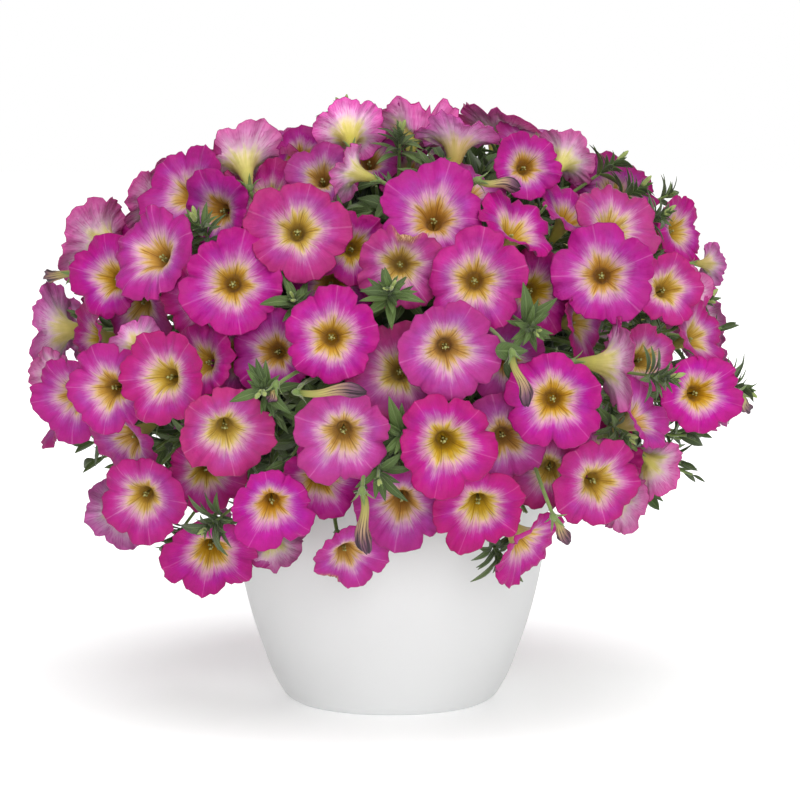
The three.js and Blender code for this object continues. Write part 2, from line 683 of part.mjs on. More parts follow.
/** One leaf blade: an ovate outline folded along its midrib and drooping at the tip. */
function leafSolid(foot, along, up, length) {
  const side = new THREE.Vector3().crossVectors(up, along).normalize();
  const over = new THREE.Vector3().crossVectors(along, side).normalize();
  const broad = length > LEAF.broadFrom;
  const outline = broad ? LEAF.broadOutline : LEAF.narrowOutline;
  const spot = ([reach, width, lift]) => foot.clone()
    .addScaledVector(along, reach * length)
    .addScaledVector(side, width * length)
    .addScaledVector(over, lift * length);
  const left = outline.map(([reach, width, lift]) => spot([reach, width, lift]));
  const right = outline.map(([reach, width, lift]) => spot([reach, -width, lift])).reverse();
  const top = [spot([0, 0, 0]), ...right.reverse(), spot([1, 0, -LEAF.droop]), ...left.reverse()];
  const count = top.length;
  const corners = [...top, ...top.map((point) => point.clone().addScaledVector(over, -LEAF.thickness))];
  const blade = broad
    ? [[0, 1, 5], [1, 2, 4], [1, 4, 5], [2, 3, 4]]
    : [[0, 1, 3], [1, 2, 3]];
  const edge = top.flatMap((_, index) => {
    const next = (index + 1) % count;
    return [[index, index + count, next], [next, index + count, next + count]];
  });
  return solid(corners, [
    ...blade,
    ...turned(blade).map((face) => face.map((index) => index + count)),
    ...edge,
  ]);
}

/** A stem from the heart to a point, tried from several roots until it is clear. */
function clearStem(end, isClear) {
  const line = end.clone().sub(new THREE.Vector3(0, 0, HEART.height)).normalize();
  const aside = new THREE.Vector3().crossVectors(line, UP).normalize();
  const stems = SHOOT.roots.map(([turn, pitch]) => {
    const way = line.clone().applyAxisAngle(UP, turn).applyAxisAngle(aside, pitch);
    const root = heartPoint(way, -SHOOT.depth);
    const along = end.clone().sub(root).normalize();
    return { along, body: rod(root, end, SHOOT.radius, SHOOT.sides) };
  });
  return stems.find(({ body }) => isClear(body));
}

/** One shoot: a stem out of the heart, with its leaves turned round it near the tip. */
function shoot({ tip, leaves, length, draw }, isClear) {
  const stem = clearStem(tip, isClear);
  if (!stem) return [];
  const { along } = stem;
  const aside = new THREE.Vector3().crossVectors(along, UP).normalize();
  const blades = Array.from({ length: leaves }, (_, index) => {
    const turn = index * GOLDEN_ANGLE + SHOOT.wobble * draw();
    const spread = SHOOT.spread[0] + (SHOOT.spread[1] - SHOOT.spread[0]) * draw();
    const outward = aside.clone().applyAxisAngle(along, turn);
    const direction = along.clone()
      .multiplyScalar(Math.cos(spread))
      .addScaledVector(outward, Math.sin(spread))
      .normalize();
    const foot = tip.clone()
      .addScaledVector(along, -SHOOT.pitch * (index + 0.5))
      .addScaledVector(outward, SHOOT.radius / 4);
    return leafSolid(foot, direction, along, length * (1 - SHOOT.variety * draw()));
  }).filter(isClear);
  return blades.length < SHOOT.fewest ? [] : [stem.body, ...blades];
}

/** A withered bloom or a bud: a slim spindle on a stem out of the heart. */
function spindle({ from, to, radius }, isClear) {
  const stem = clearStem(from, isClear);
  const base = from.clone().addScaledVector(to.clone().sub(from).normalize(), -SPINDLE.sunk);
  const swellings = SPINDLE.rings.map(([share, swell]) => [share, swell * radius]);
  const body = ringed(base, to, swellings, SPINDLE.sides);
  return stem && isClear(body) ? [stem.body, body] : [];
}

/** The pieces of the first option that has any, or none. */
function firstThatFits(options, make) {
  for (const option of options) {
    const pieces = make(option);
    if (pieces.length > 0) return pieces;
  }
  return [];
}

/** Front shoots and spindles, each tried at its own place and then a little nearer to us. */
function frontGreens(isClear) {
  const draw = seeded(SHOOT.seed);
  const shoots = FRONT_SHOOTS.map(([across, down, depth, leaves, length]) => firstThatFits(
    SHOOT.tries.map(([right, below, nearer]) => ({
      tip: sightPoint(across + right, down + below, depth - nearer).spot, leaves, length, draw,
    })),
    (option) => shoot(option, isClear),
  ));
  const spindles = SPINDLES.map(([across, down, toAcross, toDown, depth, radius]) => firstThatFits(
    SHOOT.tries.map(([right, below, nearer]) => ({
      from: sightPoint(across + right, down + below, depth - nearer).spot,
      to: sightPoint(toAcross + right, toDown + below, depth - nearer).spot,
      radius,
    })),
    (option) => spindle(option, isClear),
  ));
  return [...shoots, ...spindles].flat();
}

/** Shoots in the gaps between the back blooms. */
function backGreens(blooms, isClear) {
  const draw = seeded(BACK_SHOOTS.seed);
  const tips = [];
  return domeSpots(BACK_SHOOTS).flatMap(({ spot, out }) => {
    const tip = spot.clone().addScaledVector(out, -BACK_SHOOTS.depth);
    const free = blooms.every((bloom) => bloom.rim.distanceTo(tip) > BACK_SHOOTS.clear)
      && tips.every((other) => other.distanceTo(tip) > BACK_SHOOTS.spacing);
    if (!free) return [];
    const { leaves, length } = BACK_SHOOTS;
    const made = shoot({ tip, leaves, length, draw }, isClear);
    if (made.length > 0) tips.push(tip);
    return made;
  });
}

/** The leafy plant: crown stems, heart and shoots, with a socket for each spray. */
function foliage(blooms, sprays, vessels) {
  const others = [...sprays.map((one) => one.body), ...vessels];
  const isClear = (piece) => !others.some((other) => meets(piece, other));
  const core = joined([heart(), ...crownStems(0)]).subtract(joined(sprays.map((one) => one.socket)));
  const greens = [...frontGreens(isClear), ...backGreens(blooms, isClear)];
  return filled(joined([core, ...greens]));
}

/** A named mesh with its own material from a solid. */
function meshOf(name, body, look) {
  const { vertProperties, triVerts } = body.getMesh();
  const geometry = new THREE.BufferGeometry();
  geometry.setAttribute('position', new THREE.BufferAttribute(vertProperties, 3));
  geometry.setIndex(new THREE.BufferAttribute(triVerts, 1));
  geometry.computeVertexNormals();
  const mesh = new THREE.Mesh(geometry, new THREE.MeshStandardMaterial({ ...look, metalness: 0 }));
  mesh.name = name;
  return mesh;
}

const blooms = FRONT_BLOOMS.map(frontBloom);
blooms.push(...backBlooms(blooms));
blooms.forEach((bloom, index) => {
  const spin = new THREE.Quaternion().setFromAxisAngle(UP, index * GOLDEN_ANGLE);
  Object.assign(bloom, { index, nudged: 0, turn: turnTo(bloom.facing).multiply(spin) });
});
settle(blooms);
const sprays = allSprays(blooms);
const potBody = pot();
const soilBody = soil();
const plantBody = foliage(blooms, sprays, [potBody, soilBody]);

const petunia = new THREE.Group();
petunia.add(meshOf('pot', potBody, POT_LOOK));
petunia.add(meshOf('soil', soilBody, SOIL_LOOK));
petunia.add(meshOf('foliage', plantBody, LEAF_LOOK));
sprays.forEach(({ body }, index) => {
  petunia.add(meshOf(`spray_${String(index + 1).padStart(2, '0')}`, body, PETAL_LOOK));
});

export default petunia;
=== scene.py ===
"""The looks of a potted petunia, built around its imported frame.

Metres, +Z up, and the plant's front faces -Y, as in the frame. The placing
rule of the part's source is repeated in millimetres, so every finer bloom
stands where its solid stands. The leaves that the frame shows are read back
from its mesh, and the bush between them is grown from seeded draws.
"""

import json
import logging
import math
from collections.abc import Callable, Iterator, Sequence
from dataclasses import dataclass, field, replace
from enum import Enum
from functools import cached_property

import bpy
import numpy as np
from bpy.types import Camera, ID, Light, Material, Mesh, Node, NodeSocket, NodeTree, Object
from mathutils import Matrix

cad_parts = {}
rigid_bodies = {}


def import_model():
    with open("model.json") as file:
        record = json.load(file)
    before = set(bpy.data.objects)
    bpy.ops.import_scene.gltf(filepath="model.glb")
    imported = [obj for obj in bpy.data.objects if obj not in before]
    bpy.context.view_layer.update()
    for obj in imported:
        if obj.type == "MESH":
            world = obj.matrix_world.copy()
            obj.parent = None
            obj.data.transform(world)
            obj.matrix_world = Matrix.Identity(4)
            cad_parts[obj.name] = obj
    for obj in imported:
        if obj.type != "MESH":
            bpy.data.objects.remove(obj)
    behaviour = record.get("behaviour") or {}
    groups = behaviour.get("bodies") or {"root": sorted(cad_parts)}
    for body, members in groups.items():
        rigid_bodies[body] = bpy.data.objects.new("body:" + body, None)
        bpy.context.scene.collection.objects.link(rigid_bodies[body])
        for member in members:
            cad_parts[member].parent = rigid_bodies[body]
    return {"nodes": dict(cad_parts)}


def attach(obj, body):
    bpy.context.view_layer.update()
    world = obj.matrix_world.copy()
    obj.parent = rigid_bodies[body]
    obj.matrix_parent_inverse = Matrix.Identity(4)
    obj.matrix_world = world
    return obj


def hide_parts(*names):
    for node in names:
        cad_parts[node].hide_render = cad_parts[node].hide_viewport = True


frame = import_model()

LOG = logging.getLogger("petunia")
Point = np.ndarray
Pair = tuple[float, float]
Triple = tuple[float, float, float]
Colour = Triple
Stops = tuple[tuple[float, Colour], ...]
Leaf = tuple[Point, Point, float, bool]

MM = 0.001
GOLDEN_ANGLE = math.pi * (3 - math.sqrt(5))
UP = np.array((0.0, 0.0, 1.0))
WORD = 0xFFFFFFFF


class Slot(Enum):
    """The record's material slots."""

    POT = "pot"
    SOIL = "soil"
    FOLIAGE = "foliage"
    PETAL = "petal"


def unit(vector: Point) -> Point:
    """The vector at length one."""
    return vector / np.linalg.norm(vector)


def upright_turn(direction: Point) -> Point:
    """The smallest turn that takes the upright axis to a direction.

    Args:
        direction: A vector of length one.

    Returns:
        The turn as a 3 by 3 matrix, its columns the turned axes.
    """
    a, b, c = direction
    share = 1 / (1 + c)
    return np.array((
        (1 - a * a * share, -a * b * share, a),
        (-a * b * share, 1 - b * b * share, b),
        (-a, -b, c),
    ))


def about_axis(axis: Point, angle: float) -> Point:
    """The turn by an angle about an axis, as a 3 by 3 matrix."""
    return np.array(Matrix.Rotation(angle, 3, axis.tolist()))


def smooth_step(low: float, high: float, value: Point) -> Point:
    """An even rise from 0 at low to 1 at high."""
    share = np.clip((value - low) / (high - low), 0, 1)
    return share * share * (3 - 2 * share)


class Draws:
    """The source's seeded stream of even draws from 0 to 1."""

    STEP = 0x6D2B79F5
    STIR = 61

    def __init__(self, seed: int) -> None:
        """Start the stream at a seed."""
        self.state = seed & WORD

    def __call__(self) -> float:
        """The next draw.

        Returns:
            A value from 0 to 1.
        """
        self.state = (self.state + self.STEP) & WORD
        mixed = (self.state ^ (self.state >> 15)) * (self.state | 1) & WORD
        stirred = (mixed ^ (mixed >> 7)) * (mixed | self.STIR) & WORD
        mixed ^= (mixed + stirred) & WORD
        return ((mixed ^ (mixed >> 14)) & WORD) / (WORD + 1)

    def between(self, low: float, high: float) -> float:
        """A draw from low to high."""
        return low + (high - low) * self()

    def lobes(self, low: float, high: float) -> list[float]:
        """A draw from low to high for each lobe of a bloom."""
        return [self.between(low, high) for _ in range(Bloom.LOBES)]

    def phase(self) -> float:
        """A draw of where a wave starts."""
        return 2 * math.pi * self()


def even_ways(count: int) -> Iterator[Point]:
    """Even directions all round, from the top down.

    Args:
        count: How many.

    Yields:
        Each direction, a vector of length one.
    """
    for index in range(count):
        rise = 1 - (2 * (index + 0.5)) / count
        flat = math.sqrt(1 - rise**2)
        turn = index * GOLDEN_ANGLE
        yield np.array((flat * math.cos(turn), flat * math.sin(turn), rise))


# Where the blooms are, by the source's rule, in millimetres


@dataclass(frozen=True)
class Dome:
    """The dome that the blooms' rims lie on."""

    middle: float = 190
    half_width: float = 213
    above: float = 169
    below: float = 125
    below_power: float = 2.4
    petal_inset: float = 5

    def level(self, points: Point, inset: float) -> Point:
        """How far out of the dome points lie.

        Args:
            points: Places, one in each row.
            inset: How far inside the dome the level 1 is.

        Returns:
            A value below 1 for each place inside, and 1 on the skin.
        """
        reach = np.hypot(points[:, 0], points[:, 1]) / (self.half_width - inset)
        rise = points[:, 2] - self.middle
        over = reach**2 + (rise / (self.above - inset)) ** 2
        sunk = np.maximum(-rise, 0) / (self.below - inset)
        return np.where(rise >= 0, over, reach**self.below_power + sunk**self.below_power)

    def normal(self, point: Point) -> Point:
        """The dome's outward direction.

        Args:
            point: A point on it.

        Returns:
            The direction, a vector of length one.
        """
        flat = math.hypot(point[0], point[1])
        rise = point[2] - self.middle
        power, half = self.side(rise)
        outward = (flat / self.half_width) ** (power - 1) / self.half_width
        upward = math.copysign((abs(rise) / half) ** (power - 1) / half, rise)
        return unit(np.array((outward * point[0] / flat, outward * point[1] / flat, upward)))

    def side(self, rise: float) -> Pair:
        """The power and half height of its upper or lower side."""
        return (2, self.above) if rise >= 0 else (self.below_power, self.below)

    def spots(self, count: int) -> Iterator[tuple[Point, Point]]:
        """Even spots on the dome from top to bottom.

        Args:
            count: How many.

        Yields:
            Each spot with the way out.
        """
        for way in even_ways(count):
            rise = float(way[2])
            power, half = self.side(rise)
            level = (math.sqrt(1 - rise**2) / self.half_width) ** power + (abs(rise) / half) ** power
            spot = way * level ** (-1 / power) + self.middle * UP
            yield spot, self.normal(spot)


@dataclass(frozen=True)
class Eye:
    """The picture's eye: millimetres, and pixels of an 800 square."""

    place: Triple = (5.4, -2200, 428)
    down: float = 6.47
    focal: float = 3735
    middle: float = 400
    near: int = 1800
    far: int = 2500
    step: int = 2

    @property
    def ahead(self) -> Point:
        """The way that it looks."""
        tilt = math.radians(self.down)
        return np.array((0, math.cos(tilt), -math.sin(tilt)))

    def direction(self, degrees: float) -> Point:
        """A direction in the picture, from 0 to the right to 90 up."""
        turn = math.radians(degrees)
        return np.array((math.cos(turn), 0, 0)) + self.upward * math.sin(turn)

    @property
    def upward(self) -> Point:
        """The way up in the picture."""
        tilt = math.radians(self.down)
        return np.array((0, math.sin(tilt), math.cos(tilt)))

    def meets(self, dome: Dome, across: float, down: float, depth: float) -> tuple[Point, float, Point]:
        """Where the line of sight through a place in the picture meets the dome.

        Args:
            dome: The dome.
            across: Pixels from the picture's left edge.
            down: Pixels from its top edge.
            depth: How far behind the dome's skin to stop.

        Returns:
            The point, how far along the sight it is, and the sight's direction.
        """
        sight = self.ahead - self.upward * (down - self.middle) / self.focal
        sight[0] += (across - self.middle) / self.focal
        steps = np.arange(self.near, self.far, self.step)
        levels = dome.level(np.array(self.place) + steps[:, None] * sight, depth + dome.petal_inset)
        inside = np.flatnonzero(levels <= 1)
        reach = steps[inside[0] if len(inside) else int(np.argmin(levels))]
        return np.array(self.place) + sight * reach, float(reach), unit(sight)


# The rim's middle across and down and its width in pixels, how far it turns
# right and down, which side it shows, and how deep it sits
FRONT_BLOOMS: tuple[tuple[float, ...], ...] = (
    (90, 243, 98, -0.85, -0.2, -1, 6), (105, 278, 85, -0.55, -0.05, 1, 6),
    (148, 250, 100, -0.55, -0.3, 1, 0), (132, 306, 85, -0.45, 0.5, 1, 6),
    (183, 188, 90, -0.4, -0.35, 1, 6), (150, 194, 85, -0.75, -0.45, -1, 6),
    (150, 215, 80, -0.6, -0.3, 1, 20), (232, 158, 85, -0.2, -0.75, -1, 6),
    (228, 172, 80, -0.1, -0.75, 1, 10), (212, 212, 80, -0.5, 0.1, 1, 12),
    (298, 229, 100, 0.05, -0.1, 1, 0), (270, 190, 90, -0.1, -0.55, 1, 12), (236, 280, 101, 0, 0, 1, 0),
    (205, 300, 85, -0.5, 0.2, 1, 18), (50, 330, 85, -0.9, 0, -1, 4), (88, 330, 75, -0.9, 0, 1, 6),
    (135, 338, 55, -0.3, -0.3, -1, 14), (48, 380, 70, -0.8, 0.1, -1, 4),
    (68, 398, 85, -0.45, 0.2, 1, 4), (105, 390, 90, -0.35, 0.1, 1, 0),
    (158, 378, 95, -0.45, 0.05, 1, 2), (195, 362, 80, -0.55, -0.05, 1, 12),
    (226, 435, 95, 0.1, 0.35, 1, 0), (118, 440, 90, -0.7, 0.45, 1, 4), (200, 478, 85, 0, 0.35, 1, 18),
    (140, 500, 85, -0.2, 0.25, 1, 0), (120, 515, 75, -0.3, 0.4, -1, 12), (210, 560, 95, 0, 0.55, 1, 0),
    (272, 510, 85, 0.05, 0.4, 1, 4), (268, 548, 65, 0.1, 0.5, -1, 14), (312, 488, 90, 0.1, 0.35, 1, 4),
    (343, 437, 103, 0, 0.25, 1, 0), (331, 337, 100, 0, 0, 1, 0), (272, 350, 85, -0.2, 0, 1, 24),
    (400, 372, 100, 0, 0, 1, 20), (448, 350, 102, 0.1, 0.15, 1, 0), (447, 446, 105, 0.1, 0.2, 1, 0),
    (402, 508, 90, 0, 0.4, 1, 14), (480, 513, 92, 0.05, 0.5, 1, 4), (533, 550, 92, 0.65, 0.65, 1, 0),
    (350, 560, 75, 0.3, 0.6, 1, 2), (555, 400, 100, 0.05, 0.05, 1, 0), (553, 475, 80, -0.1, 0.3, 1, 14),
    (601, 485, 92, 0.3, 0.15, 1, 0), (628, 500, 70, 0.8, 0.2, -1, 10), (655, 470, 70, 0.5, 0.5, -1, 10),
    (605, 455, 75, 0.3, -0.2, 1, 18), (648, 412, 85, 0.8, -0.45, 1, 2),
    (622, 365, 90, 0.95, 0.05, -1, 4), (648, 358, 75, 0.4, -0.1, 1, 16), (592, 312, 80, 0.85, 0, 1, 6),
    (603, 275, 98, 0, 0, 1, 0), (540, 288, 90, 0.2, 0.05, 1, 8), (475, 280, 103, 0, 0, 1, 0),
    (400, 265, 90, 0, 0.05, 1, 10), (434, 212, 105, 0, -0.3, 1, 4), (522, 222, 90, 0.5, -0.68, 1, 4),
    (528, 165, 75, 0.2, -0.1, 1, 0), (535, 140, 75, 0.1, -0.75, 1, 10),
    (570, 155, 65, 0.5, -0.6, -1, 8), (608, 182, 88, 0.05, -0.6, 1, 8),
    (618, 218, 90, 0.35, -0.55, 1, 2), (575, 208, 80, 0.5, -0.75, 1, 14),
    (685, 228, 72, 0.75, -0.15, 1, 4), (670, 288, 78, 0.3, -0.1, 1, 2), (688, 300, 70, 0.6, 0, -1, 12),
    (712, 262, 45, 0.85, 0, -1, 6), (704, 334, 75, 0.75, -0.3, 1, 4), (703, 393, 85, 0.3, 0, 1, 0),
    (655, 245, 75, 0.3, -0.3, 1, 20), (383, 128, 80, 0, -0.7, 1, 10),
    (348, 128, 75, -0.1, -0.55, -1, 4), (425, 121, 88, 0.1, -0.8, -1, 4),
    (458, 130, 88, 0.1, -0.97, -1, 2), (345, 170, 65, -0.9, -0.3, -1, 6),
    (362, 147, 75, 0, -0.5, 1, 10), (303, 148, 75, -0.1, -0.5, 1, 8), (325, 172, 75, -0.1, -0.4, 1, 12),
    (285, 158, 60, -0.2, -0.6, -1, 14), (345, 245, 80, 0.2, 0, 1, 16), (335, 278, 85, 0, 0.2, 1, 34),
    (505, 362, 85, 0.1, 0.2, 1, 24), (505, 440, 90, 0.1, 0.2, 1, 22), (232, 350, 80, 0, 0, 1, 26),
    (475, 180, 80, 0.4, -0.8, 1, 14), (410, 160, 75, 0.1, -0.5, 1, 20),
)


@dataclass
class Bloom:
    """One bloom: the middle of its rim, where it faces and its size."""

    rim: Point
    facing: Point
    size: float
    slide: Point
    depth: float
    index: int = 0
    nudged: float = 0

    RIM = 30.0
    THROAT = 10.5
    THROAT_DEPTH = 10.5
    CALYX_DEPTH = 36.0
    PIT = 28.0
    FLUTTER = 1.6
    LOBES = 5
    SEED = 77

    @property
    def calyx(self) -> Point:
        """Where its tube ends and its stalk begins."""
        return self.rim - self.facing * (self.CALYX_DEPTH * self.size)

    @property
    def pit(self) -> Point:
        """The bottom of its throat."""
        return self.rim - self.facing * (self.PIT * self.size)

    @property
    def turn(self) -> Point:
        """The turn of its own axes, spun so that no two lobes line up."""
        return upright_turn(self.facing) @ about_axis(UP, self.index * GOLDEN_ANGLE)

    def levels(self, points: Point) -> tuple[Point, Point]:
        """How points lie to it.

        Args:
            points: Places, one in each row.

        Returns:
            How high each is along its axis, and how far from the axis, both
            in full-size millimetres.
        """
        offset = (points - self.rim) / self.size
        height = offset @ self.facing
        return height, np.sqrt(np.maximum(0, (offset**2).sum(axis=1) - height**2))

    def sides(self, points: Point) -> set[int]:
        """Which sides of its petals points lie on, those beyond its rim apart.

        Args:
            points: Places, one in each row.

        Returns:
            1 where some lie before the petals, -1 where some lie behind.
        """
        height, reach = self.levels(points)
        over = height + self.THROAT_DEPTH * ((self.RIM - reach) / (self.RIM - self.THROAT))
        return set(np.sign(over[reach <= self.RIM]).astype(int).tolist())


@dataclass
class BloomPlan:
    """All blooms: the front ones from the picture, the back ones by a rule."""

    dome: Dome = field(default_factory=Dome)
    eye: Eye = field(default_factory=Eye)
    candidates: int = 900
    spacing: float = 52
    band: Pair = (92, 352)
    forward: float = 0
    waist: float = 170
    waist_width: float = 135
    sizes: Pair = (0.8, 1)
    depths: Pair = (0, 14)
    sway: float = 0.35
    seed: int = 411
    passes: int = 40
    near: float = 70
    inward: float = 1.5
    outward: float = 0.5
    deepest: float = 34
    proudest: float = -3
    aside: float = 0.5
    furthest: float = 6
    rings: tuple[Pair, ...] = ((30, 0), (20, -5.5))
    around: int = 10

    def blooms(self) -> list[Bloom]:
        """Every bloom.

        Returns:
            The blooms in their settled places.
        """
        found = [self.front(row) for row in FRONT_BLOOMS]
        self.add_back(found)
        for index, bloom in enumerate(found):
            bloom.index = index
        self.settle(found)
        return found

    def front(self, row: Sequence[float]) -> Bloom:
        """A front bloom.

        Args:
            row: Its row of FRONT_BLOOMS.

        Returns:
            The bloom.
        """
        across, down, width, right, drop, side, depth = row
        spot, reach, sight = self.eye.meets(self.dome, across, down, depth)
        toward = side * math.sqrt(max(0.0, 1 - right**2 - drop**2))
        facing = np.array((right, 0, 0)) - self.eye.upward * drop - self.eye.ahead * toward
        size = width * reach / (2 * self.eye.focal * Bloom.RIM)
        return Bloom(spot, unit(facing), size, -sight, depth)

    def add_back(self, found: list[Bloom]) -> None:
        """Add blooms over the back, each well apart from those before it.

        Args:
            found: The blooms so far, which they join.
        """
        draw = Draws(self.seed)
        for spot, out in self.dome.spots(self.candidates):
            tucked = spot[2] > self.waist or abs(spot[0]) < self.waist_width
            if not (spot[1] > self.forward and self.band[0] < spot[2] < self.band[1] and tucked):
                continue
            rims = np.array([bloom.rim for bloom in found])
            if np.linalg.norm(rims - spot, axis=1).min() <= self.spacing:
                continue
            depth = draw.between(*self.depths)
            swayed = out + [self.sway * (2 * draw() - 1) for _ in range(3)]
            rim = spot - out * (self.dome.petal_inset + depth)
            found.append(Bloom(rim, unit(swayed), draw.between(*self.sizes), out, depth))

    def petal_points(self, bloom: Bloom) -> Point:
        """Points that stand for a bloom's petals, from the middle of its rim."""
        reach, height = np.array(self.rings, float).T[..., None]
        return turned(reach, round_turns(self.around), height) * bloom.size @ upright_turn(bloom.facing).T

    def settle(self, blooms: list[Bloom]) -> None:
        """Slide crossing blooms apart along their own lines, the deeper one inward.

        Args:
            blooms: The blooms, which are moved.
        """
        points = [self.petal_points(bloom) for bloom in blooms]

        def cross(one: int, other: int) -> bool:
            """Whether the other's petals pass through those of the first."""
            return {1, -1} <= blooms[one].sides(points[other] + blooms[other].rim)

        for _ in range(self.passes):
            for index, one in enumerate(blooms):
                for before in range(index):
                    other = blooms[before]
                    if math.dist(one.rim, other.rim) > self.near:
                        continue
                    if cross(index, before) or cross(before, index):
                        self.part(one, other)

    def part(self, one: Bloom, other: Bloom) -> None:
        """Move two crossing blooms a little apart.

        Args:
            one: A bloom.
            other: The bloom that it crosses.
        """
        inner, outer = (one, other) if one.depth >= other.depth else (other, one)
        aside = inner.rim - outer.rim
        aside = unit(aside - inner.slide * (aside @ inner.slide))
        nudge = min(self.aside, self.furthest - inner.nudged)
        inner.rim = inner.rim + aside * nudge
        inner.nudged += nudge
        sink = min(self.inward, max(0, self.deepest - inner.depth))
        inner.rim = inner.rim - inner.slide * sink
        inner.depth += sink
        lift = min(self.outward, max(0, outer.depth - self.proudest))
        outer.rim = outer.rim + outer.slide * lift
        outer.depth -= lift


@dataclass(frozen=True)
class Heart:
    """The leafy core that every stem grows out of, in millimetres."""

    height: float = 225
    half_width: float = 108
    half_height: float = 72
    lowest_line: float = -0.35

    @property
    def middle(self) -> Point:
        """Its middle."""
        return self.height * UP

    @property
    def half(self) -> Point:
        """Its half sizes."""
        return np.array((self.half_width, self.half_width, self.half_height))

    def skin(self, direction: Point, beyond: float = 0) -> Point:
        """A point of its skin, or beyond it.

        Args:
            direction: The way out of its middle.
            beyond: How far beyond the skin.

        Returns:
            The point.
        """
        flat = math.hypot(direction[0], direction[1]) / self.half_width
        reach = 1 / math.hypot(flat, direction[2] / self.half_height)
        return direction * (reach + beyond) + self.middle

    def growth_line(self, bloom: Bloom) -> Point:
        """The line out of its middle that a stalk grows along.

        Args:
            bloom: The stalk's bloom.

        Returns:
            The line's direction.
        """
        line = unit(bloom.calyx - self.middle)
        line[2] = max(line[2], self.lowest_line)
        return unit(line)


@dataclass
class Spray:
    """The blooms of one CAD node, with the foot of each one's stalk."""

    node: str
    blooms: list[Bloom]
    heart: Heart = field(default_factory=Heart)

    DEPTH = 12.0
    FIRST_FORK = 5.0
    FORK_STEP = 5.0

    def lean(self, bloom: Bloom) -> float:
        """How far a bloom's stalk would lean from its growth line."""
        way = unit(bloom.calyx - self.heart.skin(self.heart.growth_line(bloom)))
        return math.acos(min(1.0, max(-1.0, float(way @ bloom.facing))))

    def feet(self) -> list[tuple[Bloom, Point]]:
        """Where each stalk begins: in the heart for the leader's, else at a fork.

        Returns:
            Each bloom with its stalk's foot.
        """
        leader, *others = sorted(self.blooms, key=self.lean)
        root = self.heart.skin(self.heart.growth_line(leader), -self.DEPTH)
        along = unit(leader.calyx - root)
        first = self.DEPTH + self.FIRST_FORK
        forks = [root + along * (first + index * self.FORK_STEP) for index in range(len(others))]
        return [(leader, root), *zip(others, forks)]


# Meshes and growth


@dataclass
class Shell:
    """Meshes gathered in one piece: points, four-sided faces and what they carry."""

    points: list[Point] = field(default_factory=list)
    faces: list[Point] = field(default_factory=list)
    places: list[Point] = field(default_factory=list)
    marks: dict[str, list[Point]] = field(default_factory=dict)
    count: int = 0

    def add(self, points: Point, faces: Point, places: Point, **marks: Point) -> None:
        """Add one mesh.

        Args:
            points: Its points in millimetres, one in each row.
            faces: Its faces as rows of four point numbers.
            places: For each face's four corners, its place on the UV map.
            **marks: Named values, one for each point.
        """
        self.points.append(points)
        self.faces.append(faces + self.count)
        self.places.append(places)
        for name, values in marks.items():
            self.marks.setdefault(name, []).append(np.broadcast_to(values, len(points)))
        self.count += len(points)

    def mesh(self, name: str) -> Mesh:
        """All of it as one smooth mesh in metres.

        Args:
            name: The mesh's name.

        Returns:
            The mesh.
        """
        mesh = bpy.data.meshes.new(name)
        faces = np.concatenate(self.faces).tolist()
        mesh.from_pydata((np.concatenate(self.points) * MM).tolist(), [], faces)
        layer = mesh.uv_layers.new(name="place")
        layer.data.foreach_set("uv", np.concatenate(self.places).astype(np.float32).ravel())
        for mark, values in self.marks.items():
            put(mesh, mark, np.concatenate(values))
        mesh.shade_smooth()
        return mesh

    def piece(self, name: str, material: Material) -> Object:
        """All of it as an object of the scene, with its material."""
        return dressed(name, self.mesh(name), material)


def put(mesh: Mesh, name: str, values: Sequence | Point, kind: str = "FLOAT",
        slot: str = "value") -> None:
    """Give each point of a mesh a named value, of Blender's type and in its property."""
    layer = mesh.attributes.new(name, kind, "POINT")
    layer.data.foreach_set(slot, np.array(values, np.int32 if kind == "INT" else np.float32).ravel())


def round_turns(count: int) -> Point:
    """Even turns round a ring."""
    return 2 * math.pi * np.arange(count) / count


def turned(reach: Point, turns: Point, height: Point) -> Point:
    """Points round the upright axis, one in each row."""
    sides = np.broadcast_arrays(reach * np.cos(turns), reach * np.sin(turns), height)
    return np.stack(sides, -1).reshape(-1, 3)


def grid_faces(rows: int, columns: int, closed: bool) -> tuple[Point, Point]:
    """The faces of a grid of points, row by row.

    Args:
        rows: Points along.
        columns: Points across.
        closed: Whether each row comes round to its start.

    Returns:
        The faces, and their corners' places from 0 to 1 across and along.
    """
    cells = columns if closed else columns - 1
    row, column = np.divmod(np.arange((rows - 1) * cells), cells)
    steps = ((0, 0), (0, 1), (1, 1), (1, 0))
    faces = [(row + up) * columns + (column + over) % columns for up, over in steps]
    across = [(column + over) / cells for _, over in steps]
    along = [(row + up) / (rows - 1) for up, _ in steps]
    return np.stack(faces, 1), np.stack([np.stack(across, 1), np.stack(along, 1)], 2)


def closed_fan(ring: Sequence[int]) -> Point:
    """Four-sided faces that close a ring.

    Args:
        ring: The numbers of its points, an even count.

    Returns:
        The faces.
    """
    half = len(ring) // 2
    pairs = zip(range(half - 1), range(len(ring) - 1, half, -1))
    return np.array([(ring[low], ring[low + 1], ring[high - 1], ring[high]) for low, high in pairs])


def closed_tube(rings: int, sides: int) -> tuple[Point, Point]:
    """The faces of a tube with closed ends, ring by ring.

    Args:
        rings: Rings along it.
        sides: Points in each ring, an even count.

    Returns:
        The faces, and their corners' places: 0 to 1 across and along, and 0 on the ends.
    """
    faces, places = grid_faces(rings, sides, closed=True)
    last = (rings - 1) * sides
    ends = np.concatenate([closed_fan(range(sides)[::-1]), closed_fan(range(last, last + sides))])
    return np.concatenate([faces, ends]), np.concatenate([places, np.zeros((len(ends), 4, 2))])


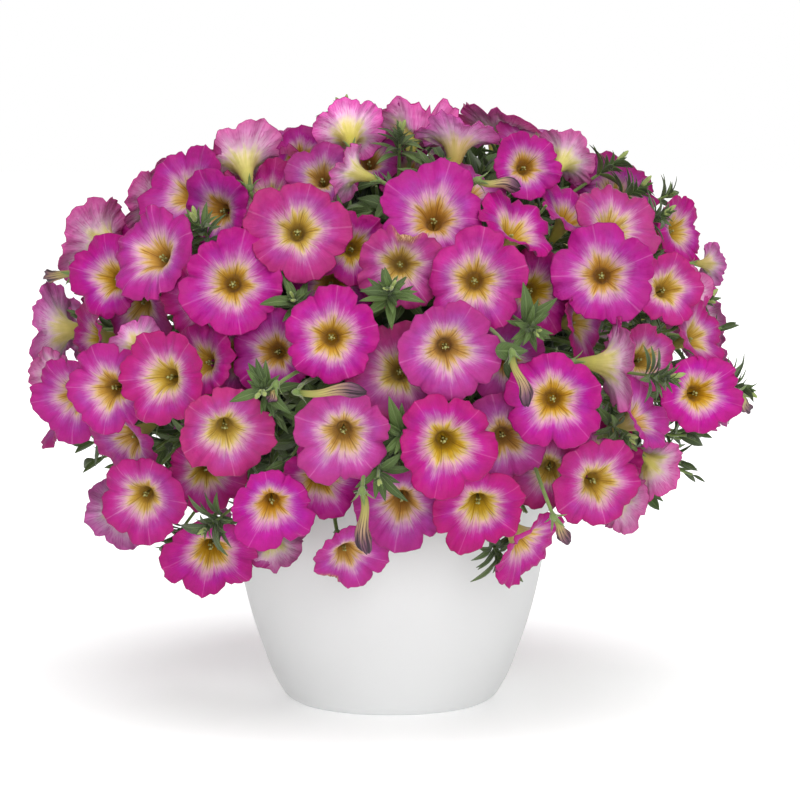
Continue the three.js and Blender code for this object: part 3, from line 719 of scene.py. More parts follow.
@dataclass(frozen=True)
class Value:
    """A value that a node tree works out, which sums like a number."""

    nodes: "Nodes"
    socket: NodeSocket

    def __add__(self, other: "Number") -> "Value":
        """The sum of both."""
        return self.nodes.math("ADD", self, other)

    def __sub__(self, other: "Number") -> "Value":
        """This less the other."""
        return self.nodes.math("SUBTRACT", self, other)

    def __rsub__(self, other: float) -> "Value":
        """The other less this."""
        return self.nodes.math("SUBTRACT", other, self)

    def __mul__(self, other: "Number") -> "Value":
        """The product of both."""
        return self.nodes.math("MULTIPLY", self, other)


Number = Value | float
Paint = Value | Colour


@dataclass
class Nodes:
    """Writes the nodes of a tree."""

    tree: NodeTree

    def fill(self, node: Node, inputs: dict[str | int, object]) -> None:
        """Set a node's inputs.

        Args:
            node: The node.
            inputs: A setting or a value of the tree for each, by name or number.
        """
        for key, value in inputs.items():
            if isinstance(value, Value):
                self.tree.links.new(value.socket, node.inputs[key])
            else:
                node.inputs[key].default_value = value

    def node(self, kind: str, inputs: dict[str | int, object] | None = None,
             **settings: object) -> Node:
        """Add a node.

        Args:
            kind: Blender's name for it.
            inputs: As in fill.
            **settings: Its properties.

        Returns:
            The node.
        """
        node = self.tree.nodes.new(kind)
        for name, value in settings.items():
            setattr(node, name, value)
        self.fill(node, inputs or {})
        return node

    def value(self, kind: str, inputs: dict[str | int, object] | None = None,
              output: str | int = 0, **settings: object) -> Value:
        """An output of a new node."""
        return Value(self, self.node(kind, inputs, **settings).outputs[output])

    def math(self, operation: str, first: Number, second: Number = 0.0) -> Value:
        """What an operation makes of one or two values."""
        return self.value("ShaderNodeMath", {0: first, 1: second}, operation=operation)


class Growth(Nodes):
    """A geometry node tree that grows a plain mesh on a bare one, and is then gone."""

    def __init__(self, name: str, **inputs: tuple[str, float | int | ID]) -> None:
        """Start a tree.

        Args:
            name: What it grows.
            **inputs: Each named input's socket type and value.
        """
        super().__init__(bpy.data.node_groups.new(name, "GeometryNodeTree"))
        make = self.tree.interface.new_socket
        make("Geometry", in_out="INPUT", socket_type="NodeSocketGeometry")
        make("Geometry", in_out="OUTPUT", socket_type="NodeSocketGeometry")
        self.values = {}
        for title, (kind, value) in inputs.items():
            socket = make(title, in_out="INPUT", socket_type=kind)
            self.values[socket.identifier] = value
        self.source = self.tree.nodes.new("NodeGroupInput")

    def input(self, title: str) -> Value:
        """One of the tree's own inputs."""
        return Value(self, self.source.outputs[title])

    def named(self, name: str, kind: str = "FLOAT") -> Value:
        """A named value of what the tree grows on."""
        return self.value("GeometryNodeInputNamedAttribute", {"Name": name}, "Attribute", data_type=kind)

    def finish(self, grown: Value, material: Material) -> None:
        """End the tree in real geometry with its material.

        Args:
            grown: What it grows.
            material: The material.
        """
        real = self.value("GeometryNodeRealizeInstances", {"Geometry": grown})
        smooth = self.value("GeometryNodeSetShadeSmooth", {"Geometry": real})
        worn = self.value("GeometryNodeSetMaterial", {"Geometry": smooth, "Material": material})
        self.node("NodeGroupOutput", {"Geometry": worn})

    def run(self, name: str, bare: Mesh) -> Object:
        """Grow the tree on a bare mesh.

        Args:
            name: The new piece's name.
            bare: The points, lines or faces that it grows on.

        Returns:
            The new piece, a plain mesh.
        """
        seedbed = placed("seedbed", bare)
        modifier = seedbed.modifiers.new("growth", "NODES")
        modifier.node_group = self.tree
        for identifier, value in self.values.items():
            modifier[identifier] = value
        graph = bpy.context.evaluated_depsgraph_get()
        mesh = bpy.data.meshes.new_from_object(seedbed.evaluated_get(graph))
        mesh.name = name
        seedbed.modifiers.remove(modifier)
        bpy.data.objects.remove(seedbed)
        bpy.data.meshes.remove(bare)
        bpy.data.node_groups.remove(self.tree)
        return placed(name, mesh)


def placed(name: str, mesh: Mesh | Light | Camera) -> Object:
    """A mesh, lamp or lens as an object of the scene, at the origin.

    Args:
        name: Its name.
        mesh: What it is.

    Returns:
        The object.
    """
    piece = bpy.data.objects.new(name, mesh)
    bpy.context.scene.collection.objects.link(piece)
    return piece


def dressed(name: str, mesh: Mesh, material: Material) -> Object:
    """A mesh as an object of the scene, with its material."""
    mesh.materials.append(material)
    return placed(name, mesh)


def seat(piece: Object, slot: Slot, *nodes: str) -> None:
    """Tell the frame about a finished piece.

    Args:
        piece: The piece, which rides on the root.
        slot: The slot of its material, not used.
        *nodes: The nodes that it stands for.
    """
    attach(piece, "root")
    if nodes:
        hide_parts(*nodes)
    LOG.info("%s: %d faces", piece.name, len(piece.data.polygons))


# Finishes


def srgb(colour: Colour) -> tuple[float, ...]:
    """A screen colour from 0 to 255 as the light that a shader takes.

    Args:
        colour: Its red, green and blue.

    Returns:
        The light, and 1 for opaque.
    """
    channels = (channel / 255 for channel in colour)
    light = (c / 12.92 if c <= 0.04045 else ((c + 0.055) / 1.055) ** 2.4 for c in channels)
    return (*light, 1.0)


def paint(colour: Paint) -> Value | tuple[float, ...]:
    """A colour of the tree as it is, or a screen colour as light."""
    return colour if isinstance(colour, Value) else srgb(colour)


class Recipe(Nodes):
    """Writes the nodes of one material."""

    def __init__(self, name: str) -> None:
        """Start an empty material.

        Args:
            name: Its name.
        """
        self.material = bpy.data.materials.new(name)
        self.material.use_nodes = True
        super().__init__(self.material.node_tree)
        self.tree.nodes.clear()

    @cached_property
    def place(self) -> list[Value]:
        """The surface's own UV map, across and along."""
        parts = self.node("ShaderNodeSeparateXYZ", {0: self.value("ShaderNodeUVMap", uv_map="place")})
        return [Value(self, part) for part in parts.outputs[:2]]

    @cached_property
    def here(self) -> Value:
        """The place on the whole piece, in metres."""
        return self.value("ShaderNodeTexCoord", output="Object")

    def mark(self, name: str) -> Value:
        """A named value of the surface."""
        return self.value("ShaderNodeAttribute", output="Fac", attribute_name=name)

    def point(self, x: Number, y: Number, z: Number) -> Value:
        """Three values as one point."""
        return self.value("ShaderNodeCombineXYZ", {0: x, 1: y, 2: z})

    def noise(self, scale: float, detail: float = 2.0, where: Value | None = None) -> Value:
        """Soft noise from 0 to 1, at the place on the piece if no other is given."""
        inputs = {"Vector": where or self.here, "Scale": scale, "Detail": detail}
        return self.value("ShaderNodeTexNoise", inputs, "Fac")

    def fold(self, value: Value) -> Value:
        """How far a value is from the nearest whole number."""
        return self.math("PINGPONG", value, 0.5)

    def span(self, value: Value, low: float, high: float, top: float = 1.0) -> Value:
        """A smooth rise from 0 at low to the top at high."""
        inputs = {"Value": value, "From Min": low, "From Max": high, "To Max": top}
        return self.value("ShaderNodeMapRange", inputs, interpolation_type="SMOOTHSTEP")

    def ramp(self, value: Value, stops: Stops) -> Value:
        """A colour read off a row of stops.

        Args:
            value: Where to read it.
            stops: Places from 0 to 1, each with its screen colour.

        Returns:
            The colour.
        """
        node = self.node("ShaderNodeValToRGB", {0: value})
        elements = node.color_ramp.elements
        while len(elements) < len(stops):
            elements.new(1.0)
        for element, (place, colour) in zip(elements, stops):
            element.position = place
            element.color = srgb(colour)
        return Value(self, node.outputs[0])

    def mix(self, share: Number, first: Paint, second: Paint) -> Value:
        """Two colours mixed, by the share of the second."""
        inputs = {0: share, 6: paint(first), 7: paint(second)}
        return self.value("ShaderNodeMix", inputs, 2, data_type="RGBA")

    def bump(self, height: Value, distance: float, strength: float = 0.6) -> Value:
        """A relief from a height."""
        inputs = {"Height": height, "Distance": distance, "Strength": strength}
        return self.value("ShaderNodeBump", inputs)

    def surface(self, colour: Paint, **inputs: Number | Sequence[float]) -> Material:
        """End the material in one surface.

        Args:
            colour: Its colour.
            **inputs: Its other inputs, an underscore standing for a space.

        Returns:
            The material.
        """
        named = {name.replace("_", " "): value for name, value in inputs.items()}
        shader = self.value("ShaderNodeBsdfPrincipled", {"Base Color": paint(colour), **named})
        self.node("ShaderNodeOutputMaterial", {0: shader})
        return self.material


@dataclass(frozen=True)
class PetalFinish:
    """Silky corollas: a magenta rim, a pale streaked star and a yellow throat."""

    roughness: float = 0.56
    sheen: float = 0.06
    streaks: float = 0.28
    star: float = 0.07
    # How much painted light brightens undersides that face the light, as if it shone through the petals
    through: float = 0.33
    # How much painted shade darkens blooms set deep in the bush
    shaded: float = 0.34
    face: Stops = (
        (0.0, (178, 138, 54)), (0.16, (184, 140, 52)), (0.25, (182, 138, 52)), (0.31, (194, 152, 60)),
        (0.35, (202, 168, 94)), (0.39, (206, 172, 136)), (0.43, (204, 162, 166)), (0.5, (194, 130, 168)),
        (0.57, (182, 93, 156)), (0.64, (172, 50, 139)), (0.76, (169, 21, 125)), (1.0, (161, 18, 108)),
    )
    under: Stops = (
        (0.0, (134, 140, 64)), (0.2, (178, 166, 82)), (0.33, (200, 184, 112)), (0.43, (214, 194, 168)),
        (0.54, (216, 174, 200)), (0.74, (208, 126, 184)), (1.0, (198, 82, 156)),
    )
    net: Colour = (184, 58, 146)
    cloud: Colour = (142, 54, 152)
    vein: Colour = (116, 78, 34)
    line: Colour = (222, 136, 190)
    seam: Colour = (132, 24, 104)
    dried: Colour = (206, 168, 124)
    crease: Colour = (142, 96, 62)

    def material(self) -> Material:
        """The material, which reads the petals' own map and marks.

        Returns:
            The material.
        """
        recipe = Recipe("petal")
        seed = recipe.mark("seed")
        fine, broad = self.fibres(recipe, seed)
        reach = self.reach(recipe, fine, broad)
        face = self.clouds(recipe, self.veins(recipe, recipe.ramp(reach, self.face), seed))
        netting = recipe.span(fine, 0.5, 0.66, 0.5) * recipe.span(recipe.place[1], 0.4, 0.7)
        under = recipe.mix(netting, recipe.ramp(reach, self.under), self.net)
        both = recipe.mix(recipe.span(recipe.mark("back"), 0.35, 0.65), face, under)
        grain = recipe.noise(160.0, 5.0) - 0.5
        # Painted shade darkens blooms deep in the bush and painted light brightens undersides that face the
        # light; the grain is random tone
        tone = 1.05 - recipe.mark("depth_shade_and_tone") * self.shaded + grain * 0.45 + recipe.mark("lit") * self.through
        other = recipe.math("FRACT", seed * 7.31)
        toned = recipe.value("ShaderNodeHueSaturation", {
            "Hue": seed * 0.03 + 0.487, "Saturation": other * 0.12 + 0.95, "Value": tone, "Color": both,
        })
        relief = fine * 0.9 + recipe.noise(900.0) * 0.6 + recipe.noise(75.0) * 9.0
        return recipe.surface(
            self.withered(recipe, toned, fine),
            Roughness=self.roughness,
            Sheen_Weight=self.sheen,
            Sheen_Roughness=0.4,
            Specular_IOR_Level=0.25,
            Normal=recipe.bump(relief, 0.0006),
        )

    def fibres(self, recipe: Recipe, seed: Value) -> tuple[Value, Value]:
        """Noise drawn out along the petals.

        Args:
            recipe: The material's writer.
            seed: The bloom's own number.

        Returns:
            Fine noise and broad noise.
        """
        across, along = recipe.place
        turn = across * (2 * math.pi)
        sides = [recipe.math(side, turn) * 9.0 for side in ("COSINE", "SINE")]
        where = recipe.point(*sides, seed * 40.0 + along * 1.6)
        return recipe.noise(3.4, 3.0, where), recipe.noise(0.35, 1.0, where)

    def reach(self, recipe: Recipe, fine: Value, broad: Value) -> Value:
        """How far out the colours are read: ragged between the rings, drawn in to a star.

        Args:
            recipe: The material's writer.
            fine: Fine noise along the petals.
            broad: Broad noise along them.

        Returns:
            The reach, from 0 at the throat's end to 1 at the rim.
        """
        across, along = recipe.place
        ridge = 1.0 - recipe.fold(across * Bloom.LOBES) * 2.0
        zone = recipe.span(along, 0.16, 0.42) * recipe.span(along, 1.05, 0.72)
        ragged = (fine - 0.5) * self.streaks + (broad - 0.5) * (1.1 * self.streaks)
        return along + (ragged + recipe.math("POWER", ridge, 2.0) * -self.star) * zone

    def veins(self, recipe: Recipe, colour: Value, seed: Value) -> Value:
        """Brown veins in the yellow, a pale line along each lobe and a dark one between two.

        Args:
            recipe: The material's writer.
            colour: The colour without them.
            seed: The bloom's own number.

        Returns:
            The colour with them.
        """
        across, along = recipe.place
        waver = recipe.noise(6.0, where=recipe.point(along, seed, across))
        vein = recipe.span(recipe.fold(across * 20.0 + waver), 0.11, 0.02)
        zone = recipe.span(along, 0.2, 0.36) * recipe.span(along, 0.7, 0.44)
        colour = recipe.mix(vein * zone * 0.4, colour, self.vein)
        middle = recipe.fold(across * Bloom.LOBES)
        main = recipe.span(middle, 0.05, 0.01) * recipe.span(along, 0.54, 0.42, 0.6)
        colour = recipe.mix(main * recipe.span(along, 0.16, 0.28), colour, self.vein)
        pale = recipe.span(middle, 0.018, 0.003) * recipe.span(along, 0.46, 0.62, 0.2)
        colour = recipe.mix(pale, colour, self.line)
        dark = recipe.span(middle, 0.465, 0.497) * recipe.span(along, 0.55, 0.8, 0.35)
        return recipe.mix(dark, colour, self.seam)

    def clouds(self, recipe: Recipe, colour: Value) -> Value:
        """Violet clouds between the star and the rim.

        Args:
            recipe: The material's writer.
            colour: The colour without them.

        Returns:
            The colour with them.
        """
        along = recipe.place[1]
        violet = recipe.span(along, 0.45, 0.6) * recipe.span(along, 0.95, 0.7)
        soft = recipe.span(recipe.noise(70.0, 3.0), 0.42, 0.68, 0.36)
        return recipe.mix(violet * soft, colour, self.cloud)

    def withered(self, recipe: Recipe, colour: Value, fine: Value) -> Value:
        """The dried parts: beige tissue with brown creases."""
        creased = recipe.mix(recipe.span(fine, 0.42, 0.62), self.crease, self.dried)
        return recipe.mix(recipe.mark("dry") * 0.92, colour, creased)


@dataclass(frozen=True)
class LeafFinish:
    """Matt green leaves with a pale midrib, side veins and soft short hair."""

    name: str = "leaf"
    dark: Colour = (34, 50, 22)
    light: Colour = (94, 118, 56)
    rib: Colour = (128, 150, 94)
    roughness: float = 0.58

    def material(self) -> Material:
        """The material, which reads the leaf's own map and marks.

        Returns:
            The material.
        """
        recipe = Recipe(self.name)
        across, along = recipe.place
        mottle = recipe.noise(140.0, 3.0)
        base = recipe.mix(recipe.mark("shade") * 0.8 + mottle * 0.3, self.dark, self.light)
        side = recipe.math("ABSOLUTE", across - 0.5)
        vein = recipe.span(recipe.fold(along * 7.0 - side * 6.0), 0.09, 0.02, 0.2)
        pale = recipe.math("MAXIMUM", recipe.span(side, 0.07, 0.01, 0.45), vein)
        return recipe.surface(
            recipe.mix(pale, base, self.rib),
            Roughness=self.roughness,
            Specular_IOR_Level=0.35,
            Sheen_Weight=0.15,
            Normal=recipe.bump(mottle - pale * 1.2, 0.0006),
        )


@dataclass(frozen=True)
class StalkFinish:
    """Soft green stalks, stems and sepals, paler where they are young."""

    name: str = "stalk"
    dark: Colour = (70, 92, 40)
    light: Colour = (128, 152, 72)

    def material(self) -> Material:
        """The material.

        Returns:
            The material.
        """
        recipe = Recipe(self.name)
        colour = recipe.mix(recipe.noise(260.0, 3.0), self.dark, self.light)
        fuzz = recipe.bump(recipe.noise(2400.0, 1.0), 0.0003)
        return recipe.surface(colour, Roughness=0.6, Sheen_Weight=0.35, Normal=fuzz)


@dataclass(frozen=True)
class StamenFinish:
    """Greenish-white stigmas and anthers on pale green threads."""

    dark: Colour = (126, 128, 66)
    light: Colour = (176, 178, 116)

    def material(self) -> Material:
        """The material."""
        recipe = Recipe("stamen")
        return recipe.surface(recipe.mix(recipe.noise(3000.0), self.dark, self.light), Roughness=0.5)


@dataclass(frozen=True)
class WitheredFinish:
    """Spent corollas: a yellow-green tube that ends in dark, striped, folded petals."""

    stops: Stops = (
        (0.0, (92, 112, 48)), (0.14, (140, 142, 66)), (0.4, (176, 160, 92)), (0.6, (170, 138, 108)),
        (0.8, (112, 70, 92)), (1.0, (66, 38, 56)),
    )
    stripe: Colour = (44, 24, 38)

    def material(self) -> Material:
        """The material, which reads the piece's own map.

        Returns:
            The material.
        """
        recipe = Recipe("withered")
        across, along = recipe.place
        drawn = recipe.point(across * 26.0, along * 1.4, recipe.mark("shade") * 50.0)
        crease = recipe.noise(1.0, 3.0, drawn)
        base = recipe.ramp(along + (crease - 0.5) * 0.25, self.stops)
        stripe = recipe.span(recipe.fold(across * 10.0 + crease * 1.6), 0.22, 0.08)
        colour = recipe.mix(stripe * recipe.span(along, 0.2, 0.6, 0.95), base, self.stripe)
        return recipe.surface(colour, Roughness=0.65, Normal=recipe.bump(crease, 0.001))


@dataclass(frozen=True)
class PotFinish:
    """Smooth white moulded plastic with a satin skin."""

    roughness: float = 0.42
    dark: Colour = (221, 222, 222)
    light: Colour = (227, 228, 228)

    def material(self) -> Material:
        """The material.

        Returns:
            The material.
        """
        recipe = Recipe("pot_white")
        grain = recipe.noise(1800.0)
        return recipe.surface(
            recipe.mix(recipe.noise(9.0, 3.0), self.dark, self.light),
            Roughness=recipe.span(grain, 0.0, 1.0, 0.08) + self.roughness,
            Specular_IOR_Level=0.45,
            Normal=recipe.bump(grain, 0.00008, 0.3),
        )


@dataclass(frozen=True)
class SoilFinish:
    """Dark, crumbly potting soil."""

    dark: Colour = (30, 20, 13)
    light: Colour = (104, 78, 56)

    def material(self) -> Material:
        """The material.

        Returns:
            The material.
        """
        recipe = Recipe("soil")
        crumbs = recipe.noise(420.0, 5.0)
        colour = recipe.mix(crumbs * recipe.noise(70.0), self.dark, self.light)
        return recipe.surface(colour, Roughness=0.95, Normal=recipe.bump(crumbs, 0.0015, 0.9))


@dataclass(frozen=True)
class FloorFinish:
    """The plain pale floor, lit a little from below like a light table."""

    colour: Colour = (250, 250, 250)
    glow: float = 0.28

    def material(self) -> Material:
        """The material."""
        glow = {"Emission_Color": (1, 1, 1, 1), "Emission_Strength": self.glow}
        return Recipe("floor").surface(self.colour, Roughness=0.9, **glow)


# The blooms


def in_lobes(turns: Point) -> Point:
    """Turns counted in a bloom's lobes, each lobe's middle at a whole number."""
    return turns * Bloom.LOBES / (2 * math.pi)


def off_middle(turns: Point) -> Point:
    """How far turns are from the nearest lobe's middle, from -0.5 to 0.5."""
    return (in_lobes(turns) + 0.5) % 1 - 0.5


def bell(offset: Point, width: float) -> Point:
    """A soft peak of height 1 and a width, round 0."""
    return np.exp(-((offset / width) ** 2))


@dataclass
class Corolla:
    """One trumpet corolla: a thin shell, up the outside and down the throat.

    Each outline row holds a height and a reach in full-size millimetres, and
    where its colours are read.
    """

    bloom: Bloom
    around: int = 70
    seed: int = 5300
    mouth: float = -6.5
    notch: float = 27.1
    clefts: Pair = (0.0, 3.2)
    cleft_width: float = 0.06
    tips: Pair = (-1.3, 1.1)
    tip_width: float = 0.11
    curl: Pair = (-0.8, 4.8)
    curls_from: float = 18
    widths: Pair = (0.93, 1.13)
    crowding: tuple[float, ...] = (0.1, 0.07, 0.04)
    drawn_in: float = 0.3
    waves: tuple[int, ...] = (9, 13, 19, 26)
    wave: float = 0.36
    ripples: tuple[int, ...] = (12, 17, 23)
    ripple: float = 0.8
    bow: float = 1.5
    crease: Pair = (0.8, 0.07)
    dent: Pair = (1.6, 0.13)
    shrunk: float = 0.3
    crackled: Pair = (1.5, 0.8)
    # The way towards the light whose glow through the petals is painted on undersides
    sun: Triple = (0, 0.5, 1)
    wide: float = 1
    thick: float = 16
    eased: Triple = (2, 13, 10)
    mostly: float = 0.15
    under: Triple = (3.0, 2.0, 0.7)
    gap: float = 2.2
    outside: tuple[Triple, ...] = (
        (-36.4, 1.5, 0.0), (-36, 2.2, 0.03), (-31, 3.0, 0.1), (-24.5, 4.4, 0.17), (-18.5, 5.8, 0.25),
        (-13.6, 8.0, 0.33), (-10, 10.9, 0.41), (-6.9, 15.2, 0.54), (-4.2, 20.2, 0.7),
        (-2.1, 25.2, 0.85), (-0.5, 29.3, 0.97),
    )
    inside: tuple[Triple, ...] = (
        (0.0, 30.0, 1.0), (0.0, 29.2, 0.97), (-1.5, 25.0, 0.85), (-3.6, 20.0, 0.7), (-6.2, 15.0, 0.54),
        (-9.2, 10.5, 0.41), (-12.8, 7.4, 0.33), (-17.6, 5.2, 0.25), (-24, 3.8, 0.15), (-30, 1.6, 0.02),
    )

    def add_to(self, shell: Shell, neighbours: Sequence[Bloom]) -> None:
        """Add it to a piece.

        Args:
            shell: The piece.
            neighbours: The blooms before it, which it is bent clear of.
        """
        height, reach, along = self.rows
        count = len(reach)
        open_share = smooth_step(9.0, 30.0, reach)
        dry = self.dried()
        outline = self.outline() * (1 - self.shrunk * dry[-len(self.inside)])
        radius = reach * (1 + open_share * (outline / Bloom.RIM - 1))
        lift = open_share**1.6 * self.rim_heights() + self.pleats()
        droop = self.droop()
        radius = radius - self.drawn_in * np.maximum(0, droop) * open_share
        even, wavy = self.crackled
        lift = lift - droop + dry * (even + wavy * np.sin(31 * self.turns) * open_share)
        points = turned(radius, self.uneven(), height + lift)
        points = points * self.bloom.size @ self.bloom.turn.T + self.bloom.rim
        back = np.repeat(np.arange(count) < len(self.outside), self.around).astype(float)
        for other in neighbours:
            points = self.yielding(points, back, other)
        faces, places = closed_tube(count, self.around)
        row = (places[:, :, 1] * (count - 1)).round().astype(int)
        places[:, :, 1] = along[row, 0]
        look = self.draws(0)
        # Painted shade, darker for blooms set deeper in the bush, with a random share of tone
        depth_shade_and_tone = min(1.0, max(0.0, self.bloom.depth / 30)) * 0.7 + 0.3 * look()
        # Painted light on the undersides of blooms that face up towards the light, which also lessens their
        # painted shade
        lit = back * smooth_step(0.1, 0.8, float(self.bloom.facing @ unit(np.array(self.sun))))
        shell.add(
            points, faces, places, back=back, seed=np.array(look()), depth_shade_and_tone=depth_shade_and_tone * (1 - 0.85 * lit),
            dry=(dry + 0 * radius).ravel(), lit=lit,
        )

    @property
    def turns(self) -> Point:
        """The turns that its points stand at, round the bloom."""
        return round_turns(self.around)

    @property
    def rows(self) -> Point:
        """Its outline's heights, reaches and places of colour, each as a column."""
        return np.array(self.outside + self.inside).T[..., None]

    def draws(self, stream: int) -> Draws:
        """One of its own streams of draws."""
        return Draws(self.seed + stream + self.bloom.index)

    def by_lobe(self, values: Sequence[float]) -> Point:
        """Values of the lobes, run into each other between them.

        Args:
            values: One for each lobe.

        Returns:
            The value at each turn.
        """
        low, part = np.divmod(in_lobes(self.turns), 1)
        low = low.astype(int)
        share = smooth_step(0.3, 0.7, part)
        row = np.array(values)
        return row[low % Bloom.LOBES] * (1 - share) + row[(low + 1) % Bloom.LOBES] * share

    def uneven(self) -> Point:
        """The turns made uneven, so that the lobes differ in width.

        Returns:
            The turns, some crowded and some spread.
        """
        draw = self.draws(3000)
        turns = self.turns
        for order, share in enumerate(self.crowding, start=1):
            turns = turns + share * np.sin(order * turns + draw.phase())
        return turns

    def outline(self) -> Point:
        """How far the rim reaches: five uneven lobes with notches.

        Returns:
            The reach at each turn.
        """
        draw = self.draws(1000)
        turns = self.turns
        middle = off_middle(turns)
        lobe = np.abs(np.cos(math.pi * middle)) ** 0.5
        reach = self.notch + (Bloom.RIM - self.notch) * lobe
        cuts = np.array(draw.lobes(*self.clefts))[np.floor(in_lobes(turns)).astype(int) % Bloom.LOBES]
        reach = reach - cuts * bell(np.abs(middle) - 0.5, self.cleft_width)
        reach = reach + self.by_lobe(draw.lobes(*self.tips)) * bell(middle, self.tip_width)
        reach = reach * self.by_lobe(draw.lobes(*self.widths))
        for waves in self.waves:
            reach = reach + self.wave * np.sin(waves * turns + draw.phase())
        return reach

    def rim_heights(self) -> Point:
        """The rim's height, through the heights that the frame has.

        Returns:
            The height at each turn.
        """
        draw = Draws(Bloom.SEED + self.bloom.index)
        turns = self.turns
        heights = []
        for _ in range(Bloom.LOBES):
            heights.append(Bloom.FLUTTER * (2 * draw() - 1))
            heights.append(Bloom.FLUTTER * (2 * draw() - 1) - Bloom.FLUTTER)
        waves = np.fft.rfft(heights) / len(heights)
        smooth = np.full(len(turns), waves[0].real)
        for order, wave in enumerate(waves[1:], start=1):
            share = 1 if order == Bloom.LOBES else 2
            smooth = smooth + share * (wave * np.exp(1j * order * turns)).real
        for order in self.ripples:
            smooth = smooth + self.ripple * np.sin(order * turns + draw.phase())
        return smooth + self.bow * np.cos(2 * turns + draw.phase())

    def droop(self) -> Point:
        """How far each lobe's edge curls back, for each row and turn."""
        share = np.maximum(0, (self.rows[1] - self.curls_from) / (Bloom.RIM - self.curls_from))
        return self.by_lobe(self.draws(2000).lobes(*self.curl)) * share**2

    def pleats(self) -> Point:
        """The crease along the middle of each lobe, and the dent between two.

        Returns:
            The rise for each row and turn.
        """
        place = off_middle(self.turns)
        (rise, narrow), (fall, broad) = self.crease, self.dent
        height = rise * bell(place, narrow) - fall * bell(np.abs(place) - 0.5, broad)
        return height * smooth_step(10, 24, self.rows[1])

    def dried(self) -> Point:
        """How far the petals are dried up.

        Returns:
            A share from 0 to 1 for each row and turn.
        """
        patch = DRY_PATCHES.get(self.bloom.index)
        if patch is None:
            return 0 * self.turns + 0 * self.rows[1]
        way = self.bloom.turn.T @ Eye().direction(patch.turn)
        gap = (self.turns - math.atan2(way[1], way[0]) + math.pi) % (2 * math.pi) - math.pi
        aside = smooth_step(patch.half, 0.5 * patch.half, np.abs(gap))
        return aside * smooth_step(patch.start, patch.end, self.rows[1])

    def yielding(self, points: Point, back: Point, other: Bloom) -> Point:
        """Its points pushed behind, or before, the petals of another bloom.

        Args:
            points: Its points.
            back: 1 for the points of its outer side.
            other: A near bloom, whose petals keep their place.

        Returns:
            The points, those that cross the other bloom moved to the side
            where most of them lie.
        """
        height, reach = other.levels(points)
        heights, reaches = np.array(self.inside)[::-1, :2].T
        sheet = np.interp(reach, reaches, heights)
        over = height - sheet
        above = height - np.maximum(sheet, self.mouth)
        far = np.abs(above)
        within = (reach < Bloom.RIM + self.wide) & (far < self.thick)
        if not within.any() or (above[within] > 0).all() or (over[within] < 0).all():
            return points
        near, aside, away = self.eased
        fade = smooth_step(Bloom.RIM + aside, Bloom.RIM + near, reach)
        fade = fade * smooth_step(self.thick + away, self.thick - near, far)
        inner, below, thick = self.under
        if (above[within] < 0).mean() > self.mostly:
            deeper = np.interp(reach - inner, reaches, heights)
            push = -np.maximum(0, height - deeper + below + thick * back) * fade
        else:
            push = np.maximum(0, self.gap - thick * back - above) * fade
        return points + (push * other.size)[:, None] * other.facing


@dataclass(frozen=True)
class DryPatch:
    """A dried part of a bloom: its direction in the picture, half angle and reach."""

    turn: float
    half: float
    start: float
    end: float


DRY_PATCHES: dict[int, DryPatch] = {54: DryPatch(80, 0.5, 12, 22), 40: DryPatch(235, 0.5, 24, 30)}


